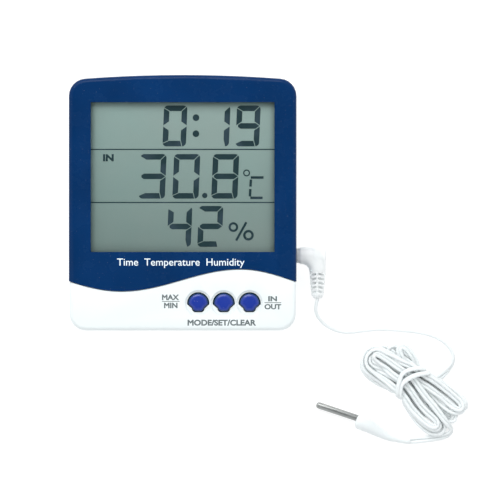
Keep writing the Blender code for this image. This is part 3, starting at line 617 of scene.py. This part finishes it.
def lettering(name, text, box, height, slot_name, materials, bold, look):
    """Printed words that fill a box (left, bottom, right, top), on a surface at a height."""
    curve = bpy.data.curves.new(name, "FONT")
    curve.body = text
    curve.size = 10 * MM
    curve.resolution_u = 6
    curve.extrude = 0.012 * MM
    curve.bevel_depth = bold * MM
    curve.bevel_resolution = 0
    helper = bpy.data.objects.new(name + "_curve", curve)
    bpy.context.scene.collection.objects.link(helper)
    bpy.context.view_layer.update()
    graph = bpy.context.evaluated_depsgraph_get()
    mesh = bpy.data.meshes.new_from_object(helper.evaluated_get(graph))
    bpy.data.objects.remove(helper, do_unlink=True)
    bpy.data.curves.remove(curve)
    points = np.array([vert.co for vert in mesh.vertices])
    low = points.min(0)
    size = points.max(0) - low
    left, bottom, right, top = (edge * MM for edge in box)
    points[:, 0] = left + (points[:, 0] - low[0]) * (right - left) / size[0]
    points[:, 1] = bottom + (points[:, 1] - low[1]) * (top - bottom) / size[1]
    points[:, 2] = height * MM + PRINT_THICK * MM * (points[:, 2] - low[2]) / size[2]
    mesh.vertices.foreach_set("co", points.astype(np.float32).ravel())
    bm = bmesh.new()
    bm.from_mesh(mesh)
    bmesh.ops.remove_doubles(bm, verts=bm.verts, dist=1e-7)
    bpy.data.meshes.remove(mesh)
    add_piece(name, bm, "case", slot_name, materials, sharp=0.0, look=look)


def build_legends(materials):
    """The word on the display, the line under it, and the keys' labels with their bars."""
    dark = (INK_LOW, "black_plastic", materials, 0.5, "lcd_ink")
    lettering("lcd_in_mark", "IN", (-34.3, 17.8, -29.7, 20.9), *dark)
    white = (LEGEND_HEIGHT, "white_case", materials, 0.05, "legend_white")
    words = "Time  Temperature  Humidity"
    lettering("front_legend", words, (-28.2, -28.1, 26.6, -24.0), *white)
    grey = (LABEL_HEIGHT, "holder_plastic", materials, 0.4, "label_ink")
    lettering("label_max", "MAX", (-8.9, -41.9, -1.5, -39.5), *grey)
    lettering("label_min", "MIN", (-8.0, -45.4, -2.2, -43.0), *grey)
    lettering("label_in", "IN", (36.8, -42.4, 40.6, -40.2), *grey)
    lettering("label_out", "OUT", (35.2, -45.9, 42.4, -43.6), *grey)
    lettering("label_modes", "MODE/SET/CLEAR", (2.1, -52.9, 31.6, -50.3), *grey)
    bm = bmesh.new()
    for left, right, y in ((-8.9, -1.3, -42.45), (35.2, 42.4, -43.0)):
        outline = rectangle(left, y - 0.14, right, y + 0.14)
        prism(bm, outline, LABEL_HEIGHT + 0.001, LABEL_HEIGHT + 0.025)
    add_piece("label_bars", bm, "case", "holder_plastic", materials, sharp=0.0, look="label_ink")


# ---------------------------------------- keys


def key_ring(x, scale, z):
    """A key's outline as evenly spaced points, shrunk about the middle of its round head."""
    turns = [math.radians(angle) for angle in range(-5, 186, 10)]
    points = [(KEY_HEAD_RADIUS * math.cos(t), KEY_HEAD_RADIUS * math.sin(t)) for t in turns]
    points += KEY_FOOT
    outline = evenly(np.array(points + points[:1]), KEY_POINTS)[:-1]
    for _ in range(3):
        outline = 0.5 * outline + 0.25 * (np.roll(outline, 1, 0) + np.roll(outline, -1, 0))
    return [Vector((x + px, KEY_Y + py, z)) * MM for px, py in outline * scale]


def build_keys(materials):
    """The keys: a rounded cap on a round flange that keeps it in the case."""
    for name, x in zip(KEY_NAMES, KEY_XS):
        bm = bmesh.new()
        rings = [key_ring(x, 0.5, KEY_BOTTOM)]
        rings += [key_ring(x, KEY_SCALE, z) for z in (KEY_BOTTOM, KEY_SHOULDER)]
        for step in range(1, CROWN_STEPS + 1):
            angle = math.radians(90 * step / CROWN_STEPS)
            scale = KEY_SCALE * max(math.cos(angle) ** CROWN_FULLNESS, 0.02)
            rings.append(key_ring(x, scale, KEY_SHOULDER + CROWN_HEIGHT * math.sin(angle)))
        loft(bm, rings)
        loft(bm, [level_ring(x, KEY_Y, radius, z, 48) for radius, z in KEY_FLANGE])
        key = add_piece(f"key_cap_{name}", bm, f"key_{name}", "blue_key", materials)
        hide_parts(f"button_{name}")


def build_domes(materials):
    """The silicone domes that return the keys, in their resting shape."""
    for name, x in zip(KEY_NAMES, KEY_XS):
        bm = bmesh.new()
        rows = [(radius, DOME_BASE + rise) for radius, rise in DOME_PROFILE]
        loft(bm, [level_ring(x, KEY_Y, radius, z, 32) for radius, z in rows])
        dome = add_piece(f"rubber_dome_{name}", bm, "case", "silicone", materials)
        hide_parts(f"key_dome_{name}")
        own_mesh(dome)


# ---------------------------------------- plug


def at_corner(field, corner):
    """A field's values at one corner of every cell."""
    return field[tuple(slice(n, n + size - 1) for n, size in zip(corner, field.shape))]


def surface_net(field, low, pitch):
    """Quads round where a sampled field is negative, as (points, faces)."""
    inside = field < 0
    shape = field.shape
    corners = [(i, j, k) for i in (0, 1) for j in (0, 1) for k in (0, 1)]
    cells = tuple(size - 1 for size in shape)
    count = np.zeros(cells, int)
    for corner in corners:
        count += at_corner(inside, corner)
    mixed = (count > 0) & (count < 8)
    total = np.zeros((*cells, 3))
    hits = np.zeros(cells)
    for a in corners:
        for axis in range(3):
            if a[axis]:
                continue
            b = tuple(a[n] + (n == axis) for n in range(3))
            fa = at_corner(field, a)
            fb = at_corner(field, b)
            crosses = (fa < 0) != (fb < 0)
            t = np.where(crosses, fa / np.where(crosses, fa - fb, 1.0), 0.0)
            for n in range(3):
                total[..., n] += np.where(crosses, a[n] + (t if n == axis else 0.0), 0.0)
            hits += crosses
    index = -np.ones(cells, int)
    index[mixed] = np.arange(mixed.sum())
    grid = np.argwhere(mixed)
    points = (grid + total[mixed] / hits[mixed][:, None]) * pitch + low
    faces = []
    for axis in range(3):
        u, v = [n for n in range(3) if n != axis]
        step = np.eye(3, dtype=int)
        first = inside[tuple(slice(0, shape[n] - (n == axis)) for n in range(3))]
        second = inside[tuple(slice(int(n == axis), None) for n in range(3))]
        for place in np.argwhere(first != second):
            if place[u] == 0 or place[v] == 0:
                continue
            quad = [place - step[u] - step[v], place - step[v], place, place - step[u]]
            faces.append([index[tuple(q)] for q in quad])
    return points, faces


def smallest(a, b, blend):
    """The union of two distance fields, with a fillet."""
    h = np.clip(0.5 + 0.5 * (b - a) / blend, 0, 1)
    return b + (a - b) * h - blend * h * (1 - h)


def rod(across, along, start, end, radius, rounding):
    """Distance from a cylinder with rounded rims, given distances from and along its axis."""
    middle = (start + end) / 2
    qx = across - (radius - rounding)
    qy = np.abs(along - middle) - (abs(end - start) / 2 - rounding)
    outside = np.hypot(np.maximum(qx, 0), np.maximum(qy, 0))
    return outside + np.minimum(np.maximum(qx, qy), 0) - rounding


def relief_field(dx, y, z, radial):
    """Distance from the strain relief, given places from the plug's downward axis."""
    fall = RELIEF_START_Y - y
    taper = RELIEF_RADIUS - RELIEF_TAPER * np.clip(fall, 0, 12)
    across = radial + (RELIEF_RADIUS - taper)
    relief = rod(across, y, RELIEF_END_Y - 0.4, RELIEF_START_Y + 1.2, RELIEF_RADIUS, 1.1)
    drop = fall - SLOT_START - SLOT_CURVE * dx**2
    nearest = np.clip(np.round(drop / SLOT_PITCH), 0, LAST_SLOT)
    slot = np.abs(drop - nearest * SLOT_PITCH) - SLOT_HALF
    web = WEB_HALF - np.abs(dx + WEB_SHIFT)
    core = CORE_SHARE * taper - np.abs(z)
    cut = np.maximum(np.maximum(slot, web), core)
    nub = rod(radial, y, RELIEF_END_Y - 1.1, RELIEF_END_Y + 1.0, 1.9, 0.5)
    return smallest(np.maximum(relief, -cut), nub, 0.5)


def plug_field(x, y, z):
    """Distance from the right-angled plug's moulding."""
    z = z - JACK_Z
    dx = x - PLUG_DOWN_X
    radial_x = np.hypot(y - JACK_Y, z)
    radial_y = np.hypot(dx, z)
    along = rod(radial_x, x, PLUG_START_X, PLUG_DOWN_X + PLUG_REACH_X, PLUG_RADIUS, 1.2)
    down = rod(radial_y, y, RELIEF_START_Y, JACK_Y + PLUG_REACH_Y, PLUG_RADIUS, 1.5)
    elbow_x = PLUG_DOWN_X - PLUG_REACH_X - ELBOW_INSIDE
    elbow_y = JACK_Y - PLUG_REACH_Y - ELBOW_INSIDE
    bend = np.hypot(np.hypot(x - elbow_x, y - elbow_y) - ELBOW_RADIUS, z) - ELBOW_THICK
    bend = np.maximum(bend, np.maximum(elbow_x - x, elbow_y - y))
    body = smallest(smallest(along, down, 0.4), bend, 0.4)
    body = smallest(body, rod(radial_x, x, *COLLAR_X, COLLAR_RADIUS, 0.35), 0.8)
    body = smallest(body, relief_field(dx, y, z, radial_y), 0.3)
    return np.maximum(body, -rod(radial_x, x, *BORE_X, BORE_RADIUS, 0.2))


def build_plug(materials):
    """The plug's moulding, as the surface of its sampled field."""
    low = np.array([BLOCK_X[0], RELIEF_END_Y - 1.8, JACK_Z - BLOCK_ROOM])
    high = np.array([BLOCK_X[1], JACK_Y + BLOCK_ROOM, JACK_Z + BLOCK_ROOM])
    axes = [np.arange(low[n], high[n], BLOCK_PITCH) for n in range(3)]
    field = plug_field(*np.meshgrid(*axes, indexing="ij"))
    points, faces = surface_net(field, low, BLOCK_PITCH)
    bm = bmesh.new()
    verts = [bm.verts.new(Vector(point) * MM) for point in points]
    for face in faces:
        bm.faces.new([verts[n] for n in face])
    plug = add_piece(
        "plug_moulding", bm, "probe_lead", "white_vinyl", materials, sharp=180.0, look="plug_white"
    )
    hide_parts("plug_body")
    return plug


# ---------------------------------------- cord

# The cord from the plug to the hank, and from there to the sleeve: x, y, z, and the angle in
# degrees of its wide side from upright
RUN = (
    (58.3, -39.6, 10.0, EDGE),
    (58.26, -41.2, 10.0, EDGE),
    (57.95, -43.0, 9.8, EDGE),
    (57.25, -45.0, 9.1, EDGE),
    (57.6, -47.8, 7.7, EDGE),
    (59.4, -50.7, 6.0, EDGE),
    (62.4, -53.4, 4.2, EDGE),
    (67.2, -55.6, 2.4, EDGE),
    (72.6, -56.1, 1.6, EDGE),
    (77.6, -55.4, 1.52, EDGE),
    (83.3, -54.8, 1.52, EDGE),
    (89.1, -54.8, 1.52, EDGE),
    (95.5, -55.3, 1.52, EDGE),
    (102.4, -56.1, 1.52, EDGE),
    (107.6, -57.4, 1.52, EDGE),
    (112.0, -59.4, 1.52, EDGE),
    (115.5, -62.3, 1.52, EDGE),
    (117.4, -66.2, 1.52, 5.0),
    (117.0, -69.4, 1.5, 20.0),
    (115.0, -72.2, 1.3, 45.0),
    (112.4, -74.8, 1.0, 70.0),
)
TAIL = (
    (116.7, -98.4, 2.2, 20.0),
    (115.8, -100.2, 1.52, 40.0),
    (113.0, -101.4, 1.2, 65.0),
    (109.1, -102.0, 0.95, 82.0),
    (102.8, -102.8, 1.0, FLAT),
    (97.3, -103.15, 1.4, FLAT),
    (94.3, -102.7, 1.6, FLAT),
)
# The middle of the hank's waist, and the turn of its length from X
HANK_X = 98.8
HANK_Y = -77.8
HANK_TURN = math.radians(-40.0)
HANK_COS = math.cos(HANK_TURN)
HANK_SIN = math.sin(HANK_TURN)
# The cord goes through the hank's waist twenty times, lying flat: level and column of each
WAIST = (
    ((0, 3), (0, 2), (0, 1), (0, 0), (1, 0), (1, 1), (1, 2), (1, 3), (2, 3), (2, 0))
    + ((2, 1), (2, 2), (3, 3), (3, 0), (3, 1), (3, 2), (4, 3), (4, 0), (4, 1), (4, 2))
)
MIDDLE_COLUMN = 1.5
COLUMN_PITCH = 4.1
LOWEST_LEVEL = 0.8
LEVEL_PITCH = 1.42
# The loops between them, left and right in turn: tip (along, across), half width, sideways
# bow, height at the tip and the cord's lean at the tip
LOOPS = (
    ((-17.4, 5.2), 2.1, 0.5, 3.6, 55.0),
    ((24.4, 1.2), 2.6, 0.0, 1.5, 20.0),
    ((-20.6, -6.0), 2.9, -0.6, 1.5, 20.0),
    ((23.6, -7.6), 2.7, -1.6, 1.5, 30.0),
    ((-22.2, -5.6), 3.6, -0.4, 2.2, 20.0),
    ((25.2, -0.3), 2.7, 0.0, 2.8, 35.0),
    ((-14.0, 8.9), 2.2, 0.6, 4.4, 60.0),
    ((25.6, 6.6), 2.1, 0.6, 1.6, 20.0),
    ((-21.2, 0.2), 4.8, 0.4, 3.2, 25.0),
    ((24.6, -7.3), 3.4, -1.9, 3.0, 35.0),
    ((-19.4, -4.4), 2.6, 0.0, 3.6, 30.0),
    ((25.2, 5.0), 3.5, 0.8, 3.6, 30.0),
    ((-23.5, -3.6), 6.2, -0.2, 4.4, 15.0),
    ((22.4, -7.4), 2.2, -1.6, 4.6, 45.0),
    ((-21.2, -2.4), 3.2, 0.2, 4.8, 25.0),
    ((24.6, 5.3), 1.9, 0.7, 5.0, 70.0),
    ((-22.3, -3.0), 4.7, 0.0, 5.6, 20.0),
    ((21.2, -7.2), 1.9, -1.4, 5.6, 72.0),
    ((-20.8, -1.7), 1.9, 0.2, 6.0, 30.0),
)


def hank_place(u, v, z, angle):
    """A point given along (u) and across (v) the hank."""
    x = HANK_X + u * HANK_COS - v * HANK_SIN
    y = HANK_Y + u * HANK_SIN + v * HANK_COS
    return (x, y, z, angle)


def eased(t):
    """A share from 0 to 1 that starts and ends gently."""
    t = min(1.0, max(0.0, t))
    return t * t * (3 - 2 * t)


def waist_place(level, column):
    """Where a pass goes through the waist: across the hank, and above the floor."""
    return (column - MIDDLE_COLUMN) * COLUMN_PITCH, LOWEST_LEVEL + LEVEL_PITCH * level


def loop_points(start, end, loop):
    """The points of one loop, from just beyond the waist in one pass to back in the next."""
    (tip_u, tip_v), half, bow, rest, lean = loop
    v0, z0 = waist_place(*start)
    v1, z1 = waist_place(*end)
    middle_v = (v0 + v1) / 2
    length = math.hypot(tip_u, tip_v - middle_v)
    ax = tip_u / length
    ay = (tip_v - middle_v) / length
    side = 1.0 if v0 > v1 or (v0 == v1 and tip_v < v0) else -1.0
    nx = -ay if ax > 0 else ay
    ny = abs(ax)
    begin = abs(v0 - v1) / 2
    centre = length - half
    shape = []
    for share in (0.1, 0.25, 0.42, 0.6, 0.8):
        width = begin + (half - begin) * eased(share / 0.85)
        shape.append((centre * share, width, eased(share * 1.3), eased(share - 0.1)))
    for angle in (80, 56, 32):
        turn = math.radians(angle)
        shape.append((centre + half * math.cos(turn), half * math.sin(turn), 1.0, 1.0))
    whole = [(*row, z0) for row in shape] + [(length, 0.0, 1.0, 1.0, z0)]
    whole += [(along, -across, up, turned, z1) for along, across, up, turned in shape[::-1]]
    rows = []
    for along, across, up, turned, z in whole:
        u = ax * along + nx * across * side
        bend = bow * math.sin(math.pi * min(1.0, along / length))
        v = middle_v + ay * along + ny * across * side + bend
        rows.append(hank_place(u, v, z + (rest - z) * up, FLAT + (lean - FLAT) * turned))
    return rows


# Points along, across and above, with lean: into the hank under its loops, and out over the
# right-hand tips to the tail
ENTRY = (
    (8.4, 8.8, 0.85, 82.0),
    (6.4, 7.4, 0.8, 88.0),
    (3.8, 6.6, 0.8, 89.0),
)
EXIT = (
    (4.0, 0.6, 6.6, 88.0),
    (9.0, -0.6, 6.9, 84.0),
    (14.2, -1.5, 6.9, 76.0),
    (19.0, -2.6, 6.7, 66.0),
    (23.0, -3.4, 6.1, 50.0),
    (25.6, -3.9, 4.4, 35.0),
)


def hank_route():
    """The cord's points through the hank, from the run to the tail."""
    rows = [hank_place(*point) for point in ENTRY]
    for start, end, loop in zip(WAIST, WAIST[1:], LOOPS):
        rows.append(hank_place(0.0, *waist_place(*start), FLAT))
        rows += loop_points(start, end, loop)
    rows.append(hank_place(0.0, *waist_place(*WAIST[-1]), FLAT))
    return rows + [hank_place(*point) for point in EXIT]


def cord_route():
    """The cord's middle at even steps, before its strands touch, and which points are held."""
    route = spline(list(RUN) + hank_route() + list(TAIL), CORD_STEP)
    for _ in range(4):
        route[1:-1] = 0.5 * route[1:-1] + 0.25 * (route[:-2] + route[2:])
    free = np.zeros(len(route), bool)
    run = list(RUN) + [hank_place(*point) for point in ENTRY[:2]]
    free[len(spline(run, CORD_STEP)) : -len(spline(TAIL, CORD_STEP))] = True
    return route, free


def stretched_back(cores, lengths, first):
    """Brings every second step of the two cores back to its length."""
    a = cores[first:-1:2]
    b = cores[first + 1 :: 2]
    step = b - a
    size = np.linalg.norm(step, axis=-1, keepdims=True)
    change = 0.5 * step * (1 - lengths[first::2][:, :, None] / size)
    a += change
    b -= change


def pushed_apart(cores):
    """Moves strands that overlap away from each other, and up from the floor."""
    points = cores.reshape(-1, 3)
    squares = np.sum(points**2, axis=1)
    apart = squares[:, None] + squares[None, :] - 2 * points @ points.T
    first, second = np.nonzero(apart < CORE_GAP**2)
    chosen = second // 2 - first // 2 > 3
    first = first[chosen]
    second = second[chosen]
    step = points[second] - points[first]
    size = np.maximum(np.linalg.norm(step, axis=1, keepdims=True), 0.05)
    push = PUSH * step * (CORE_GAP / size - 1)
    np.add.at(points, first, -push)
    np.add.at(points, second, push)
    points[:, 2] = np.maximum(points[:, 2], CORE_RADIUS + FLOOR_GAP)


def held_by_tie(cores):
    """Keeps the strands under the tie inside it."""
    x = cores[..., 0] - HANK_X
    y = cores[..., 1] - HANK_Y
    u = x * HANK_COS + y * HANK_SIN
    v = y * HANK_COS - x * HANK_SIN
    under = np.abs(u) < TIE_LENGTH
    change = np.where(under, np.clip(v, -TIE_INSIDE, TIE_INSIDE) - v, 0.0)
    cores[..., 0] -= change * HANK_SIN
    cores[..., 1] += change * HANK_COS
    cores[..., 2] = np.minimum(cores[..., 2], np.where(under, TIE_TOP, np.inf))


def settled(cores, free):
    """Lets the loops of the hank sink, and keeps its strands from passing through each other."""
    start = cores.copy()
    lengths = np.linalg.norm(np.diff(cores, axis=0), axis=-1)
    for _ in range(SETTLING_STEPS):
        cores += HOME_PULL * (start - cores)
        cores[..., 2] -= FALL
        cores[1:-1] += STIFFNESS * (0.5 * (cores[:-2] + cores[2:]) - cores[1:-1])
        for first in (0, 1, 0, 1):
            stretched_back(cores, lengths, first)
        across = cores[:, 1] - cores[:, 0]
        size = np.linalg.norm(across, axis=1, keepdims=True)
        change = 0.5 * across * (1 - 2 * CORE_OFFSET / size)
        cores[:, 0] += change
        cores[:, 1] -= change
        pushed_apart(cores)
        held_by_tie(cores)
        cores[~free] = start[~free]
    for _ in range(3):
        cores[1:-1] += 0.4 * (0.5 * (cores[:-2] + cores[2:]) - cores[1:-1])
    return cores


def upright_across(tangents):
    """The unit direction across a line that is nearest to straight up, at each point."""
    up = np.array([0.0, 0.0, 1.0])
    return unit(up - (tangents @ up)[:, None] * tangents)


def wide_sides(route):
    """The unit direction of the flat cord's wide side at each point of its route."""
    tangents = unit(np.gradient(route[:, :3], axis=0))
    upright = upright_across(tangents)
    level = np.cross(tangents, upright)
    angle = np.radians(route[:, 3])[:, None]
    return np.cos(angle) * upright + np.sin(angle) * level


def tube_rings(points, tangents, first, radius, sides=10, widening=1.0):
    """Rings of points round a line, in metres, widened across each ring's first direction."""
    second = widening * np.cross(tangents, first)
    radii = np.broadcast_to(radius, len(points))
    angles = [2 * math.pi * side / sides for side in range(sides)]
    return [
        [Vector((point + r * (math.cos(t) * a + math.sin(t) * b)) * MM) for t in angles]
        for point, a, b, r in zip(points, first, second, radii)
    ]


def build_cord(materials):
    """The flat twin cord, from the plug to the probe's sleeve, and the line of its middle."""
    route, free = cord_route()
    wide = wide_sides(route)
    middle = route[:, :3]
    cores = np.stack([middle - CORE_OFFSET * wide, middle + CORE_OFFSET * wide], axis=1)
    cores = settled(cores, free)
    wide = unit(cores[:, 1] - cores[:, 0])
    bm = bmesh.new()
    for core in (0, 1):
        tangents = unit(np.gradient(cores[:, core], axis=0))
        across = unit(wide - np.sum(wide * tangents, axis=1)[:, None] * tangents)
        loft(bm, tube_rings(cores[:, core], tangents, across, CORE_RADIUS))
    cord = add_piece("probe_cord", bm, "probe_lead", "white_vinyl", materials, sharp=80.0)
    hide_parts("cord_run", "cord_hank", "cord_tail")
    return cord, cores.mean(axis=1)


# Where the tie's two turns cross the hank's top: across and along
TIE_LINES = (
    ((-8.2, 0.4), (-5.6, -1.4), (-3.4, -2.6), (-0.5, -2.4), (3.7, -0.6), (8.4, 3.2)),
    ((-8.2, -0.9), (-5.0, -3.2), (-2.0, -4.7), (0.8, -5.4), (4.0, -4.0), (7.0, -1.3), (8.4, 0.6)),
)
# A turn's half width, middle height and half height, and its wire's radius and widening
TIE_REACH = 8.15
TIE_MIDDLE = 4.15
TIE_RISE = 3.35
TIE_RADIUS = 0.8
TIE_WIDENING = 1.45
TIE_STEPS = 72


def tie_turn(line):
    """One closed turn: along a curved line over the hank, and straight back below it."""
    top = spline([(v, u, 0.0) for v, u in line], 0.3)
    (v0, u0), (v1, u1) = line[0], line[-1]
    points = []
    for step in range(TIE_STEPS):
        angle = 2 * math.pi * step / TIE_STEPS
        c = math.cos(angle)
        s = math.sin(angle)
        v = TIE_REACH * math.copysign(abs(c) ** 0.6, c)
        z = TIE_MIDDLE + TIE_RISE * math.copysign(abs(s) ** 0.5, s)
        straight = np.interp(v, (v0, v1), (u0, u1))
        curved = np.interp(v, top[:, 0], top[:, 1])
        over = min(1.0, max(0.0, 1.6 * s))
        points.append(hank_place(straight + (curved - straight) * over, v, z, 0)[:3])
    return np.array(points)


def build_tie(materials):
    """Two turns of a covered wire round the hank's waist."""
    bm = bmesh.new()
    middle = np.array(hank_place(0.0, 0.0, TIE_MIDDLE, 0)[:3])
    for line in TIE_LINES:
        points = tie_turn(line)
        tangents = unit(np.roll(points, -1, 0) - np.roll(points, 1, 0))
        out = unit(points - middle)
        out = unit(out - np.sum(out * tangents, axis=1)[:, None] * tangents)
        rings = tube_rings(points, tangents, out, TIE_RADIUS, 16, TIE_WIDENING)
        loft(bm, rings, closed=True)
    tie = add_piece("hank_tie", bm, "probe_lead", "white_vinyl", materials, sharp=80.0)
    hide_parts("cord_tie")
    return tie


# The probe's sleeve: x, y, z and radius along its middle
SLEEVE = (
    (98.6, -103.2, 1.55, 1.5),
    (96.0, -103.0, 1.52, 1.45),
    (92.3, -102.3, 1.58, 1.5),
    (88.4, -101.1, 1.93, 1.85),
    (83.9, -98.7, 2.6, 2.5),
    (80.3, -96.5, 3.2, 3.1),
    (77.8, -95.4, 3.38, 3.28),
    (76.6, -95.0, 3.38, 3.25),
)
# Its rounded end: its length, and how much the radius shrinks over it
SLEEVE_END_LENGTH = 1.9
SLEEVE_END_SHRINK = 2.375
SLEEVE_END_STEPS = 8


def build_sleeve(materials):
    """The probe's moulded sleeve: a smooth taper from the cord to a bulb with a rounded end."""
    route = spline(SLEEVE, 0.5)
    forward = unit((route[-1] - route[-2])[:3])
    rounded = []
    for step in range(1, SLEEVE_END_STEPS + 1):
        angle = math.radians(90 * step / SLEEVE_END_STEPS)
        row = route[-1].copy()
        row[:3] += forward * SLEEVE_END_LENGTH * math.sin(angle)
        row[3] -= SLEEVE_END_SHRINK * (1 - math.cos(angle))
        rounded.append(row)
    route = np.vstack([route, rounded])
    tangents = unit(np.gradient(route[:, :3], axis=0))
    tangents[-SLEEVE_END_STEPS:] = forward
    bm = bmesh.new()
    first = upright_across(tangents)
    loft(bm, tube_rings(route[:, :3], tangents, first, route[:, 3], sides=32))
    sleeve = add_piece("probe_moulding", bm, "probe_lead", "white_vinyl", materials, sharp=80.0)
    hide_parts("probe_sleeve")
    return sleeve


# ---------------------------------------- studio


def build_camera():
    """A long lens straight above, as the photo is taken."""
    camera = bpy.data.cameras.new("camera")
    camera.type = "PERSP"
    camera.sensor_width = SENSOR_WIDTH
    camera.lens = SENSOR_WIDTH * (CAMERA_HEIGHT - SUBJECT_HEIGHT) / VIEW_WIDTH
    camera.clip_end = 50.0
    item = bpy.data.objects.new("camera", camera)
    bpy.context.scene.collection.objects.link(item)
    item.location = Vector((CAMERA_X, CAMERA_Y, CAMERA_HEIGHT)) * MM
    bpy.context.scene.camera = item


def build_floor():
    """A plain sheet that carries some light of its own, to render as white as the photo's."""
    bm = bmesh.new()
    bmesh.ops.create_grid(bm, x_segments=2, y_segments=2, size=3.0)
    mesh = bpy.data.meshes.new("floor")
    bm.to_mesh(mesh)
    bm.free()
    floor = bpy.data.objects.new("floor", mesh)
    bpy.context.scene.collection.objects.link(floor)
    paper = Surface("paper").dressed(
        Base_Color=(0.45, 0.45, 0.45, 1.0),
        Roughness=0.95,
        Emission_Color=(1.0, 1.0, 1.0, 1.0),
        Emission_Strength=0.64,
    )
    mesh.materials.append(paper)


def area_light(name, place, size, power, mirrored=True):
    """A soft box in metres and watts, aimed at the object and seen in its gloss or not."""
    light = bpy.data.lights.new(name, "AREA")
    light.shape = "RECTANGLE"
    light.size = size[0]
    light.size_y = size[1]
    light.energy = power
    item = bpy.data.objects.new(name, light)
    bpy.context.scene.collection.objects.link(item)
    item.location = place
    item.rotation_mode = "QUATERNION"
    aim = Vector((0.03, -0.02, 0.0))
    item.rotation_quaternion = (aim - Vector(place)).to_track_quat("-Z", "Y")
    item.visible_glossy = mirrored


# The world's light: the sine of the height above the horizon, and the level there
SKY = (
    ((0.0, 0.56), (0.07, 0.56), (0.12, 0.20), (0.25, 0.24))
    + ((0.45, 0.72), (0.75, 0.72), (0.92, 0.08), (1.0, 0.04))
)


def build_lights():
    """A soft tent of light, dim straight above and low down over a pale horizon, and two boxes."""
    world = bpy.data.worlds.new("studio")
    world.use_nodes = True
    nodes = world.node_tree.nodes
    links = world.node_tree.links
    split = nodes.new("ShaderNodeSeparateXYZ")
    links.new(nodes.new("ShaderNodeTexCoord").outputs["Generated"], split.inputs["Vector"])
    ramp = nodes.new("ShaderNodeValToRGB")
    for _ in SKY[2:]:
        ramp.color_ramp.elements.new(0.5)
    for element, (place, level) in zip(ramp.color_ramp.elements, SKY):
        element.position = place
        element.color = (level * 0.96, level * 0.985, level, 1.0)
    links.new(split.outputs["Z"], ramp.inputs["Fac"])
    background = nodes["Background"]
    links.new(ramp.outputs["Color"], background.inputs["Color"])
    background.inputs["Strength"].default_value = 1.5
    bpy.context.scene.world = world
    area_light("key_light", (-0.25, 1.1, 0.95), (1.2, 0.7), 12.0)
    area_light("top_light", (0.05, -0.03, 1.2), (0.9, 0.9), 4.6, mirrored=False)


def main():
    materials = make_materials()
    dress_nodes(materials)
    build_camera()
    build_floor()
    build_lights()
    build_display(materials)
    build_legends(materials)
    build_keys(materials)
    build_domes(materials)
    plug = build_plug(materials)
    cord, route = build_cord(materials)
    tie = build_tie(materials)
    sleeve = build_sleeve(materials)
    bpy.context.scene.view_settings.view_transform = "Standard"


main()
